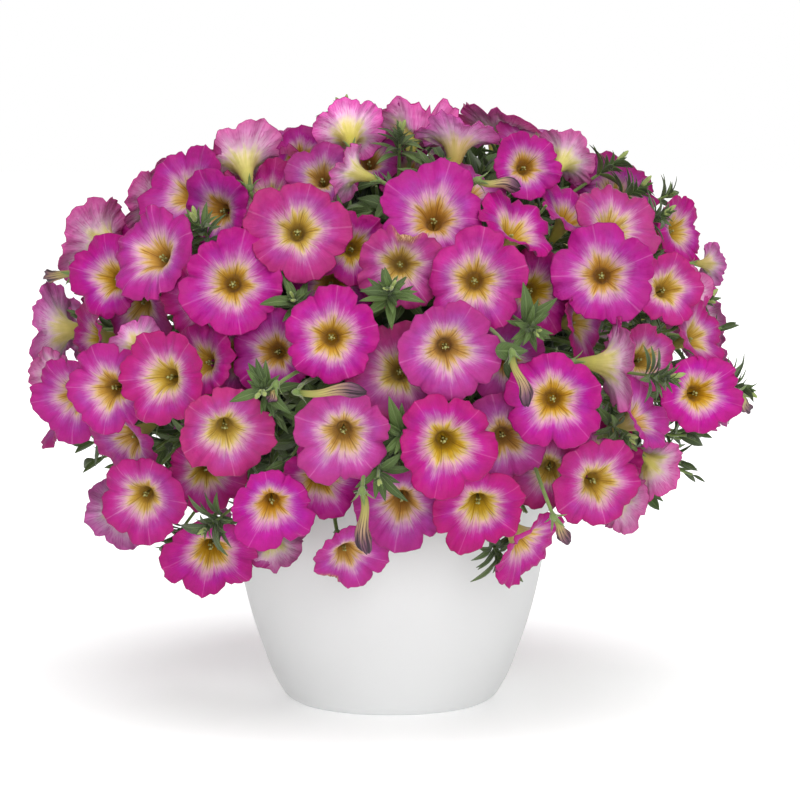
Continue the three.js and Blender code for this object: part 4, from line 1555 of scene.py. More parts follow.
@dataclass
class Blooms:
    """All corollas, a piece for each spray, with calyces, stalks and stamens."""

    plan: BloomPlan = field(default_factory=BloomPlan)
    sprays: list[Spray] = field(default_factory=list)
    sepal_length: float = 11.0
    sepal_width: float = 2.3
    near: float = 66.0
    proud: tuple[int, ...] = (54,)
    stalk_points: int = 9
    stalk_feet: Pair = (1.9, 1.2)
    stalk_end: float = 1.15
    cup: tuple[Pair, ...] = ((-3.0, 0.5), (-2.4, 1.3), (-1.0, 2.3), (1.0, 2.9), (3.0, 2.7))
    style: tuple[Pair, ...] = (
        (-29, 0.4), (-14.6, 0.45), (-13.4, 0.6), (-12.6, 0.95), (-12, 0.8), (-11.8, 0.2),
    )
    anther: tuple[Pair, ...] = ((-1.3, 0.25), (-0.8, 0.5), (0, 0.7), (0.7, 0.4), (0.9, 0.15))

    def gather(self) -> None:
        """Find each bloom's CAD node, the one with a corner at its pit."""
        names = sorted(name for name in frame["nodes"] if name.startswith("spray_"))
        corners = [node_points(name) for name in names]
        owners = np.repeat(np.arange(len(names)), [len(group) for group in corners])
        corners = np.concatenate(corners)
        groups: dict[str, list[Bloom]] = {name: [] for name in names}
        for bloom in self.plan.blooms():
            nearest = int(np.argmin(((corners - bloom.pit) ** 2).sum(axis=1)))
            groups[names[owners[nearest]]].append(bloom)
        self.sprays = [Spray(name, blooms) for name, blooms in groups.items() if blooms]

    @property
    def blooms(self) -> list[Bloom]:
        """Every bloom."""
        return [bloom for spray in self.sprays for bloom in spray.blooms]

    def build(self) -> None:
        """Make and dress every piece."""
        petal = PetalFinish().material()
        for spray in self.sprays:
            shell = Shell()
            for bloom in spray.blooms:
                Corolla(bloom).add_to(shell, self.before(bloom))
            name = spray.node.replace("spray", "blooms")
            seat(shell.piece(name, petal), Slot.PETAL, spray.node)
        stalk = StalkFinish().material()
        nodes = [spray.node for spray in self.sprays]
        seat(self.stalks(stalk), Slot.FOLIAGE, *nodes)
        calyces = self.repeat("calyces", self.sepals(), stalk, lambda bloom: bloom.calyx)
        seat(calyces, Slot.FOLIAGE, *nodes)
        pale = StamenFinish().material()
        stamens = self.repeat("stamens", self.stamen(), pale, lambda bloom: bloom.rim)
        seat(stamens, Slot.PETAL, *nodes)

    def before(self, bloom: Bloom) -> list[Bloom]:
        """The near blooms that a bloom makes way for.

        Args:
            bloom: The bloom.

        Returns:
            The others.
        """
        def order(one: Bloom) -> tuple[bool, float, int]:
            """Where a bloom stands in the row, the foremost first."""
            return one.index not in self.proud, one.depth, one.index

        return [
            other for other in self.blooms
            if order(other) < order(bloom) and np.linalg.norm(other.rim - bloom.rim) < self.near
        ]

    def repeat(self, name: str, model: Mesh, material: Material,
               place: Callable[[Bloom], Point]) -> Object:
        """The same small mesh on every bloom.

        Args:
            name: The piece's name.
            model: The mesh, upright at the origin.
            material: Its material.
            place: Where it stands on a bloom.

        Returns:
            The piece.
        """
        spots = Spots()
        for bloom in self.blooms:
            turn = bloom.turn @ about_axis(UP, bloom.index)
            spots.add(place(bloom), turn, bloom.size, 0, (bloom.index * 0.37) % 1)
        return spots.grow(name, [model], material)

    def stalks(self, material: Material) -> Object:
        """Every bloom's stalk, bent a little from its foot to its calyx.

        Args:
            material: Their material.

        Returns:
            The piece.
        """
        lines = Lines()
        for spray in self.sprays:
            for rank, (bloom, foot) in enumerate(spray.feet()):
                thick = self.stalk_feet[min(rank, 1)]
                line = bent(foot, bloom.calyx, unit(bloom.calyx - foot), bloom.facing, self.stalk_points)
                lines.add(line, np.linspace(thick, self.stalk_end, self.stalk_points))
        return lines.grow("stalks", material)

    def sepals(self) -> Mesh:
        """A calyx: five narrow sepals round the foot of the tube, and their cup.

        Returns:
            The mesh, upright at the origin.
        """
        shell = Shell()
        points, faces, places = Blade(self.sepal_width / self.sepal_length, 0.2, 2, 4).shell()
        for turn in round_turns(Bloom.LOBES):
            out = np.array((math.cos(turn), math.sin(turn), 0))
            along = unit(out * 0.55 + UP)
            side = np.cross(UP, out)
            axes = np.stack([along, side, np.cross(along, side)], 1)
            sepal = points * self.sepal_length @ axes.T + out * 1.6 - UP * 1.5
            shell.add(sepal, faces, places, shade=np.array(0.5))
        shell.add(*lathe(self.cup, 10), shade=np.array(0.5))
        return shell.mesh("sepals")

    def stamen(self) -> Mesh:
        """A style with its stigma, and five anthers round it, each on its thread.

        Returns:
            The mesh, upright, the rim's middle at the origin.
        """
        shell = Shell()
        shell.add(*lathe(self.style, 8))
        for index, turn in enumerate(round_turns(Bloom.LOBES) + 0.3):
            head = -14.2 - 1.8 * (index % 3)
            rings = [(head + rise, reach) for rise, reach in self.anther]
            points, faces, places = lathe([(-28, self.anther[0][1]), *rings], 6)
            points[:, :2] += (points[:, 2:] + 29) / 16 * 1.8 * (math.cos(turn), math.sin(turn))
            shell.add(points, faces, places)
        return shell.mesh("stamen")


def lathe(rings: Sequence[Pair], sides: int) -> tuple[Point, Point, Point]:
    """A closed form turned about the upright axis, from its rings' heights and reaches, bottom up."""
    height, reach = np.array(rings, float).T[..., None]
    return turned(reach, round_turns(sides), height), *closed_tube(len(rings), sides)


def bent(start: Point, end: Point, leaving: Point, arriving: Point, count: int) -> Point:
    """Points on a smooth curve between two places.

    Args:
        start: Its first place.
        end: Its last place.
        leaving: The way that it starts.
        arriving: The way that it ends.
        count: How many points.

    Returns:
        The points, one in each row.
    """
    reach = 0.32 * np.linalg.norm(end - start)
    handles = (start, start + leaving * reach, end - arriving * reach, end)
    share = np.linspace(0, 1, count)[:, None]
    rest = 1 - share
    weights = (rest**3, 3 * rest**2 * share, 3 * rest * share**2, share**3)
    return sum(weight * handle for weight, handle in zip(weights, handles))


def node_points(name: str) -> Point:
    """The corners of a CAD node.

    Args:
        name: The node's name.

    Returns:
        The corners in millimetres, one in each row.
    """
    mesh = frame["nodes"][name].data
    corners = np.empty(len(mesh.vertices) * 3, np.float32)
    mesh.vertices.foreach_get("co", corners)
    return corners.reshape(-1, 3).astype(float) / MM


@dataclass
class Spots:
    """Places where a small mesh is repeated, with each one's turn, size and look."""

    rows: list[tuple[Point, Triple, float, int, float]] = field(default_factory=list)

    def add(self, place: Point, axes: Point, size: float, kind: int, shade: float) -> None:
        """Add a place in millimetres, with its axes, size, kind of model, and shade from 0 to 1."""
        turn = tuple(Matrix(axes.tolist()).to_euler())
        self.rows.append((place, turn, size, kind, shade))

    def grow(self, name: str, models: list[Mesh], material: Material) -> Object:
        """Repeat the models on the places.

        Args:
            name: The new piece's name.
            models: The meshes, in the order of the kinds.
            material: The piece's material.

        Returns:
            The piece.
        """
        stock = bpy.data.collections.new("stock")
        for index, model in enumerate(models):
            stock.objects.link(bpy.data.objects.new(f"model_{index}", model))
        places, turns, sizes, kinds, shades = zip(*self.rows)
        bare = bpy.data.meshes.new("spots")
        bare.from_pydata((np.array(places) * MM).tolist(), [], [])
        put(bare, "turn", turns, "FLOAT_VECTOR", "vector")
        put(bare, "size", sizes)
        put(bare, "shade", shades)
        put(bare, "kind", kinds, "INT")
        growth = Growth(name, Stock=("NodeSocketCollection", stock), Size=("NodeSocketFloat", 1.0))
        grown = growth.value("GeometryNodeInstanceOnPoints", {
            "Points": growth.input("Geometry"),
            "Instance": growth.value(
                "GeometryNodeCollectionInfo", {"Collection": growth.input("Stock"), 1: True, 2: True}
            ),
            "Pick Instance": True,
            "Instance Index": growth.named("kind", "INT"),
            "Rotation": growth.named("turn", "FLOAT_VECTOR"),
            "Scale": growth.named("size") * growth.input("Size"),
        })
        growth.finish(grown, material)
        piece = growth.run(name, bare)
        for thing in list(stock.objects):
            mesh = thing.data
            bpy.data.objects.remove(thing)
            bpy.data.meshes.remove(mesh)
        bpy.data.collections.remove(stock)
        return piece


@dataclass
class Lines:
    """Lines that round stems grow along."""

    points: list[Point] = field(default_factory=list)
    edges: list[tuple[int, int]] = field(default_factory=list)
    radii: list[Point] = field(default_factory=list)
    count: int = 0
    sides: int = 8

    def add(self, line: Point, radii: Point) -> None:
        """Add a line.

        Args:
            line: Its points in millimetres.
            radii: Its radius at each.
        """
        self.points.append(line)
        self.radii.append(radii)
        first = self.count
        self.edges += [(first + step, first + step + 1) for step in range(len(line) - 1)]
        self.count += len(line)

    def grow(self, name: str, material: Material) -> Object:
        """Grow a round stem along every line.

        Args:
            name: The new piece's name.
            material: Its material.

        Returns:
            The piece.
        """
        bare = bpy.data.meshes.new("lines")
        bare.from_pydata((np.concatenate(self.points) * MM).tolist(), self.edges, [])
        put(bare, "thick", np.concatenate(self.radii) * MM)
        growth = Growth(name, Sides=("NodeSocketInt", self.sides), Thickness=("NodeSocketFloat", 1.0))
        ring = {"Resolution": growth.input("Sides"), "Radius": 1.0}
        stems = growth.value("GeometryNodeCurveToMesh", {
            "Curve": growth.value("GeometryNodeMeshToCurve", {0: growth.input("Geometry")}),
            "Profile Curve": growth.value("GeometryNodeCurvePrimitiveCircle", ring),
            "Scale": growth.named("thick") * growth.input("Thickness"),
            "Fill Caps": True,
        })
        growth.finish(stems, material)
        return growth.run(name, bare)


# The leaves


@dataclass(frozen=True)
class Blade:
    """A leaf blade one unit long: ovate, cupped along its midrib, drooping at its tip."""

    width: float
    droop: float
    across: int = 2
    along: int = 5
    lift: float = 0.09
    widest: float = 0.45
    thin: float = 0.012

    @property
    def top(self) -> Point:
        """The points of its upper side, row by row from its foot.

        Returns:
            The points, its foot at the origin and its tip along +X.
        """
        share = np.linspace(0, 1, self.along + 1)[:, None]
        side = np.linspace(-1, 1, self.across + 1)[None, :]
        power = math.log(0.5) / math.log(self.widest)
        swell = np.sin(math.pi * share**power) ** 0.85
        half = self.width / 2 * np.maximum(swell, 0.05)
        arch = self.lift * (np.sin(math.pi * share) * 0.6 + np.abs(side) ** 1.3 * half * 4)
        return np.stack([share + 0 * side, half * side, arch - self.droop * share**2], 2).reshape(-1, 3)

    def shell(self) -> tuple[Point, Point, Point]:
        """It as a closed form, one unit long.

        Returns:
            Its points, its faces and their places.
        """
        top = self.top
        count = len(top)
        row = self.across + 1
        faces, places = grid_faces(self.along + 1, row, closed=False)
        border = np.array([
            *range(row),
            *range(2 * row - 1, count, row),
            *range(count - 2, count - row - 1, -1),
            *range(count - 2 * row, 0, -row),
        ])
        after = np.roll(border, -1)
        edge = np.stack([border, after, after + count, border + count], 1)
        spots = np.stack([np.arange(count) % row / self.across, top[:, 0]], 1)
        edge_places = np.stack([spots[border], spots[after], spots[after], spots[border]], 1)
        return (
            np.concatenate([top, top - (0, 0, self.thin)]),
            np.concatenate([faces[:, ::-1], faces + count, edge]),
            np.concatenate([places[:, ::-1], places, edge_places]),
        )

    def mesh(self, name: str) -> Mesh:
        """It as a mesh one unit long, for repeating."""
        points, faces, places = self.shell()
        return Shell([points / MM], [faces], [places]).mesh(name)


BLADES = (
    Blade(0.27, 0.16), Blade(0.32, 0.24), Blade(0.23, 0.05), Blade(0.46, 0.3, widest=0.5),
    Blade(0.3, -0.06),
)
BROAD = 3


@dataclass
class FrameGreens:
    """The leaves and stem ends that the CAD plant shows, read back from its mesh.

    Each form holds a blade's width, where it is widest and its lift there, as shares of
    its length.
    """

    broad_form: Triple = (0.5, 0.32, 0.07)
    narrow_form: Triple = (0.4, 0.5, 0.08)
    hang: float = 0.12
    even: float = 0.02
    thickness: float = 0.8
    stem: float = 1.6
    close: float = 0.004
    parallel: float = 3e-5
    reach: float = 40.0

    def __post_init__(self) -> None:
        """Weld the loose triangles of the node, to a thousandth of a millimetre."""
        corners = node_points("foliage")
        grid = np.round(corners * 1000).astype(np.int64)
        _, first, weld = np.unique(grid, axis=0, return_index=True, return_inverse=True)
        self.points = corners[first]
        mesh = frame["nodes"]["foliage"].data
        mesh.calc_loop_triangles()
        faces = np.empty(len(mesh.loop_triangles) * 3, np.int32)
        mesh.loop_triangles.foreach_get("vertices", faces)
        self.faces = weld.ravel()[faces].reshape(-1, 3)

    def leaves(self) -> Iterator[Leaf]:
        """The node's blades.

        Yields:
            Each one's foot, axes (along, across, over), length, and whether it is broad.
        """
        pairs = np.concatenate([self.faces[:, [0, 1]], self.faces[:, [1, 2]], self.faces[:, [2, 0]]])
        edges = np.unique(np.sort(pairs, axis=1), axis=0)
        span = self.points[edges[:, 1]] - self.points[edges[:, 0]]
        length = np.linalg.norm(span, axis=1)
        rungs = np.abs(length - self.thickness) < self.close
        ways = span[rungs] / length[rungs][:, None]
        middles = self.points[edges[rungs]].mean(axis=1)
        left = list(range(len(ways)))
        while left:
            seed = left[0]
            same = [
                index for index in left
                if abs(abs(ways[index] @ ways[seed]) - 1) < self.parallel
                and np.linalg.norm(middles[index] - middles[seed]) < self.reach
            ]
            left = [index for index in left if index not in same]
            if len(same) in (3, 5):
                yield self.blade(middles[same], ways[seed])

    def blade(self, spots: Point, over: Point) -> Leaf:
        """One blade.

        Args:
            spots: The middles of its outline's corners.
            over: Its normal, one way or the other.

        Returns:
            Its foot, axes, length, and whether it is broad.
        """
        apart = np.linalg.norm(spots[:, None] - spots[None], axis=2)
        tip = int(np.argmax(np.sort(apart, axis=1)[:, 1:].sum(axis=1)))
        order = np.argsort(apart[tip])
        broad = len(spots) == 5
        one, other = spots[order[-2:]]
        width, reach, lift = self.broad_form if broad else self.narrow_form
        length = np.linalg.norm(one - other) / width
        middle = (one + other) / 2
        if (spots[tip] - middle) @ over > 0:
            over = -over
        drop = lift + self.hang
        along = (spots[tip] - middle + drop * length * over) / ((1 - reach) * length)
        foot = middle - along * reach * length - over * lift * length
        along = unit(along - over * (along @ over))
        axes = np.stack([along, np.cross(over, along), over], 1)
        return foot, axes, float(length), broad

    def ends(self) -> Iterator[tuple[Point, Point]]:
        """The node's stems.

        Yields:
            Each one's end and the way that it grows there.
        """
        side = self.stem * math.sqrt(3)
        corners = self.points[self.faces]
        spans = np.linalg.norm(corners - np.roll(corners, -1, axis=1), axis=2)
        for triangle in corners[(np.abs(spans - side) < self.even).all(axis=1)]:
            way = unit(np.cross(triangle[1] - triangle[0], triangle[2] - triangle[0]))
            yield triangle.mean(axis=0), way


@dataclass
class Petals:
    """All corollas at once, to keep leaves clear of them."""

    blooms: list[Bloom]
    pot_reach: float = 100
    pot_top: float = 146
    tube: float = 8.5
    tube_depth: float = 26
    aside: float = 1.5
    pierced_aside: float = 1
    pierced_depth: float = 20

    def __post_init__(self) -> None:
        """Gather every bloom's place, turn and size."""
        self.rims = np.array([bloom.rim for bloom in self.blooms])
        self.ways = np.array([bloom.facing for bloom in self.blooms])
        self.sizes = np.array([bloom.size for bloom in self.blooms])
        self.profile = np.array(Corolla.inside)[::-1, :2].T

    def levels(self, points: Point) -> tuple[Point, Point, Point]:
        """How points lie to every bloom.

        Args:
            points: Places, one in each row.

        Returns:
            Their heights, reaches and heights over the petals, a row for each bloom.
        """
        offset = (points[None] - self.rims[:, None]) / self.sizes[:, None, None]
        height = np.einsum("bpi,bi->bp", offset, self.ways)
        reach = np.sqrt(np.maximum(0, (offset**2).sum(axis=2) - height**2))
        return height, reach, height - np.interp(reach, self.profile[1], self.profile[0])

    def pierced(self, points: Point) -> bool:
        """Whether a petal passes through a leaf.

        Args:
            points: The leaf's points.

        Returns:
            Whether some of them lie before a petal and some behind it.
        """
        _, reach, over = self.levels(points)
        near = (reach < Bloom.RIM + self.pierced_aside) & (np.abs(over) < self.pierced_depth)
        before = (near & (over > 0)).any(axis=1)
        behind = (near & (over < 0)).any(axis=1)
        return bool((before & behind).any())

    def clear(self, points: Point, margin: float, front: float) -> Point:
        """Whether each point is clear of petals, of what shows before them and of the pot.

        Args:
            points: Places, one in each row.
            margin: How far behind the petals they must be.
            front: How far before the petals they may not be.

        Returns:
            True or false for each point.
        """
        height, reach, over = self.levels(points)
        hit = (reach < Bloom.RIM + self.aside) & (over > -margin) & (over < front)
        hit |= (reach < self.tube) & (height < 0) & (height > -self.tube_depth)
        flat = np.hypot(points[:, 0], points[:, 1])
        in_pot = (flat < self.pot_reach) & (points[:, 2] < self.pot_top)
        return ~hit.any(axis=0) & ~in_pot


@dataclass
class Bush:
    """The leafy plant: its core, darkened with painted shade, its shoots and the leaves between the blooms.
    """

    petals: Petals
    dome: Dome = field(default_factory=Dome)
    heart: Heart = field(default_factory=Heart)
    seed: int = 2024
    shoots: int = 300
    depth: Pair = (10, 34)
    leaves: int = 10
    leafy: float = 0.62
    length: Pair = (17, 30)
    spread: Pair = (0.6, 1.25)
    youngest: float = 0.5
    grown_after: int = 4
    room: Pair = (3.0, 60.0)
    lowest: float = 104
    lowest_front: float = 126
    front: float = 20
    shortest: int = 6
    stem: Pair = (1.7, 0.8)
    stem_points: int = 12
    stem_room: Pair = (1.5, 30.0)
    cover: int = 900
    cover_length: Pair = (20, 34)
    cover_spread: Pair = (0.4, 1.2)
    cover_depth: float = 0.9
    cover_room: Pair = (2.5, 40.0)
    core_share: float = 0.94
    core_rows: int = 40
    core_sides: int = 64
    tuft: int = 24
    tuft_spread: Triple = (0.15, 0.045, 0.35)
    tuft_length: Triple = (6, 0.45, 4)
    tuft_step: float = 0.6
    tuft_stem: Pair = (1.6, 0.8)
    tuft_stem_points: int = 7
    tuft_room: Pair = (4.0, 2.5)
    shrinks: tuple[float, ...] = (0.9, 0.75, 0.6, 0.45)
    buds: int = 3
    bud_room: Pair = (2.5, 4.0)
    bud_foot: float = 1.5
    bud_rings: tuple[Pair, ...] = (
        (0, 0.3), (0.6, 1.0), (1.8, 1.35), (3.2, 1.1), (5.2, 1.2), (6.6, 0.9), (7.8, 0.25),
    )

    def build(self) -> None:
        """Make and dress every piece."""
        leaf = LeafFinish().material()
        lines = Lines()
        shown = Spots()
        young = Spots()
        self.add_frame_greens(shown, young, lines)
        hidden = Spots()
        self.add_shoots(hidden, lines)
        bud = StalkFinish("bud", (110, 132, 58), (172, 184, 104)).material()
        stem = StalkFinish("stem").material()
        # The inner leaf finish is a darker copy of the leaf finish: painted shade on the core and on the
        # leaves that cover it
        dark = LeafFinish("leaf_painted_shade", (20, 32, 15), (54, 78, 36)).material()
        for piece in (
            shown.grow("leaves_shoots", self.blades(4, 7), leaf),
            hidden.grow("leaves_bush", self.blades(2, 5), leaf),
            young.grow("buds", [self.bud()], bud),
            lines.grow("stems", stem),
            self.core(dark),
            self.core_cover().grow("leaves_core", self.blades(2, 4), dark),
        ):
            seat(piece, Slot.FOLIAGE, "foliage")

    def blades(self, across: int, along: int) -> list[Mesh]:
        """A mesh of every kind of blade.

        Args:
            across: Faces across.
            along: Faces along.

        Returns:
            The meshes, in the order of the kinds.
        """
        return [
            replace(blade, across=across, along=along).mesh(f"blade_{index}")
            for index, blade in enumerate(BLADES)
        ]

    def bud(self) -> Mesh:
        """A closed bud, pointed, with its calyx round its foot.

        Returns:
            The mesh, upright at the origin.
        """
        shell = Shell()
        shell.add(*lathe(self.bud_rings, 8))
        points, faces, places = Blade(0.22, -0.1, 2, 3).shell()
        for turn in round_turns(Bloom.LOBES):
            shell.add(points * 5.5 @ leaf_axes(UP, turn, 0.35).T, faces, places)
        return shell.mesh("bud")

    def fits(self, foot: Point, axes: Point, length: float, kind: int, room: Pair) -> bool:
        """Whether the whole of a leaf is clear of the pot and, by the room, of the petals."""
        points = foot + replace(BLADES[kind], along=4).top * length @ axes.T
        return bool(self.petals.clear(points[3:], *room).all()) and not self.petals.pierced(points)

    def add_frame_greens(self, spots: Spots, young: Spots, lines: Lines) -> None:
        """Add the frame's own leaves and stems, with young leaves and buds on each stem's end.

        Args:
            spots: The leaves, which are added to.
            young: The buds.
            lines: The stems.
        """
        greens = FrameGreens()
        draw = Draws(self.seed)
        for foot, axes, length, broad in greens.leaves():
            kind = BROAD if broad else int(draw() * BROAD)
            shade = 0.1 + 0.7 * draw()
            sizes = [share * length for share in self.shrinks]
            size = next((one for one in sizes if self.fits(foot, axes, one, kind, self.tuft_room)), None)
            if size:
                spots.add(foot, axes, size * MM, kind, shade)
        for end, way in greens.ends():
            stem = bent(self.root_of(end, way), end, way, way, self.tuft_stem_points)
            lines.add(stem, np.linspace(*self.tuft_stem, self.tuft_stem_points))
            for index in range(self.tuft):
                spread = self.rising(self.tuft_spread, index, draw)
                axes = leaf_axes(way, index * GOLDEN_ANGLE + draw(), spread)
                length = self.rising(self.tuft_length, index, draw)
                foot = end - way * (self.tuft_step * index)
                kind = int(draw() * BROAD)
                shade = 0.25 + 0.7 * draw()
                if self.fits(foot, axes, length, kind, self.tuft_room):
                    spots.add(foot, axes, length * MM, kind, shade)
            for _ in range(self.buds):
                axes = leaf_axes(way, 6 * draw(), 0.2 + 0.5 * draw())
                turn = np.stack([axes[:, 1], axes[:, 2], axes[:, 0]], 1)
                size = 0.6 + 0.6 * draw()
                line = end + axes[:, 0] * np.arange(0, 12, 2.5)[:, None]
                if self.petals.clear(line, *self.bud_room).all():
                    young.add(end + axes[:, 0] * self.bud_foot, turn, size, 0, draw())

    def rising(self, law: Triple, index: int, draw: Draws) -> float:
        """A leaf's measure by a law: the first leaf's, the rise to each next, and the most drawn on top."""
        first, rise, loose = law
        return first + rise * index + loose * draw()

    def root_of(self, end: Point, way: Point) -> Point:
        """Where a stem leaves the heart.

        Args:
            end: Its end.
            way: The way that it grows.

        Returns:
            The place, straight back from its end.
        """
        line = end - way * np.arange(0, 260, 2.0)[:, None]
        level = np.linalg.norm((line - self.heart.middle) / self.heart.half, axis=1)
        inside = np.flatnonzero(level < 0.92)
        return line[inside[0] if len(inside) else int(np.argmin(level))]

    def floor(self, tip: Point) -> float:
        """How low a leaf's tip may hang there."""
        return self.lowest_front if tip[1] < self.front else self.lowest

    def add_shoots(self, spots: Spots, lines: Lines) -> None:
        """Add leafy shoots from the heart to just behind the blooms, all round.

        Args:
            spots: The leaves, which are added to.
            lines: The stems.
        """
        draw = Draws(self.seed + 1)
        for spot, out in self.dome.spots(self.shoots):
            tip = spot - out * draw.between(*self.depth)
            root = self.heart.skin(unit(tip - self.heart.middle), -6)
            rise = unit(unit(tip - root) + 0.5 * UP)
            line = bent(root, tip, rise, unit(out + 0.4 * UP), self.stem_points)
            if tip[2] < self.lowest - 15:
                continue
            fine = self.petals.clear(line, *self.stem_room) & (line[:, 2] > self.floor(tip))
            fine |= np.arange(len(line)) < 3
            count = len(line) if fine.all() else int(np.argmin(fine))
            if count < self.shortest:
                continue
            lines.add(line[:count], np.linspace(*self.stem, count))
            self.add_leaves(spots, line[:count], draw)

    def add_leaves(self, spots: Spots, line: Point, draw: Draws) -> None:
        """Add leaves along the outer part of a stem.

        Args:
            spots: The leaves, which are added to.
            line: The stem's points.
            draw: The draws that they are made from.
        """
        for index in range(self.leaves):
            share = 1 - self.leafy * index / self.leaves
            place = share * (len(line) - 1)
            low = min(int(place), len(line) - 2)
            step = line[low + 1] - line[low]
            foot = line[low] + step * (place - low)
            young = self.youngest + (1 - self.youngest) * min(1, index / self.grown_after)
            length = draw.between(*self.length) * young
            turn = index * GOLDEN_ANGLE + 0.5 * draw()
            axes = leaf_axes(unit(step), turn, draw.between(*self.spread) * young)
            kind = int(draw() * len(BLADES))
            shade = 0.15 + 0.6 * draw() * young
            tip = foot + axes[:, 0] * length
            if tip[2] > self.floor(tip) and self.fits(foot, axes, length, kind, self.room):
                spots.add(foot, axes, length * MM, kind, shade)

    def core(self, material: Material) -> Object:
        """The lumpy core inside the bush, darkened with painted shade.

        Args:
            material: Its material.

        Returns:
            The piece.
        """
        tilts = [math.pi * row / self.core_rows for row in range(self.core_rows + 1)]
        rings = [(-math.cos(tilt), max(0.02, math.sin(tilt))) for tilt in tilts]
        points, faces, places = lathe(rings, self.core_sides)
        turn = np.arctan2(points[:, 1], points[:, 0])
        rise = points[:, 2]
        lumps = 1 + 0.02 * np.sin(9 * turn + 7 * rise) + 0.03 * np.sin(5 * turn - 9 * rise)
        half = self.heart.half * self.core_share
        shell = Shell()
        points = points * lumps[:, None] * half + self.heart.middle
        # Shade 0 keeps the core near the darkest colour of its painted shade finish
        shell.add(points, faces, places * 0, shade=np.array(0.0))
        return shell.piece("foliage_core", material)

    def core_cover(self) -> Spots:
        """The leaves that cover the core.

        Returns:
            Their places.
        """
        spots = Spots()
        draw = Draws(self.seed + 2)
        half = self.heart.half
        for out in even_ways(self.cover):
            foot = self.heart.middle + out * half * self.cover_depth
            way = unit(out / half + 0.3 * UP / half[2])
            axes = leaf_axes(way, 2 * math.pi * draw(), draw.between(*self.cover_spread))
            length = draw.between(*self.cover_length)
            kind = int(draw() * len(BLADES))
            if self.fits(foot, axes, length, kind, self.cover_room):
                spots.add(foot, axes, length * MM, kind, 0.8 * draw())
        return spots


def leaf_axes(way: Point, turn: float, spread: float) -> Point:
    """The axes (along, across, over) of a leaf that leaves a stem.

    Args:
        way: The way that the stem grows.
        turn: How far round the stem the leaf is.
        spread: The angle between the stem and the leaf.

    Returns:
        The axes as the columns of a matrix.
    """
    aside = unit(np.cross(way, UP if abs(way[2]) < 0.95 else np.array((1.0, 0, 0))))
    outward = about_axis(way, turn) @ aside
    along = way * math.cos(spread) + outward * math.sin(spread)
    side = unit(np.cross(way, along))
    return np.stack([along, side, np.cross(along, side)], 1)


@dataclass(frozen=True)
class SpentRow:
    """A withered bloom or a bud: from and to in the picture, depth and radius."""

    across: float
    down: float
    to_across: float
    to_down: float
    depth: float
    radius: float


SPENT_ROWS = (
    SpentRow(74, 258, 46, 260, 4, 4.5), SpentRow(296, 392, 366, 391, -6, 4.5),
    SpentRow(362, 482, 366, 545, -4, 5), SpentRow(528, 352, 544, 406, -8, 4.5),
    SpentRow(465, 188, 508, 195, 0, 4.5), SpentRow(565, 508, 580, 534, -4, 4),
    SpentRow(738, 392, 748, 410, -4, 4.5), SpentRow(268, 384, 262, 402, 0, 3.5),
)


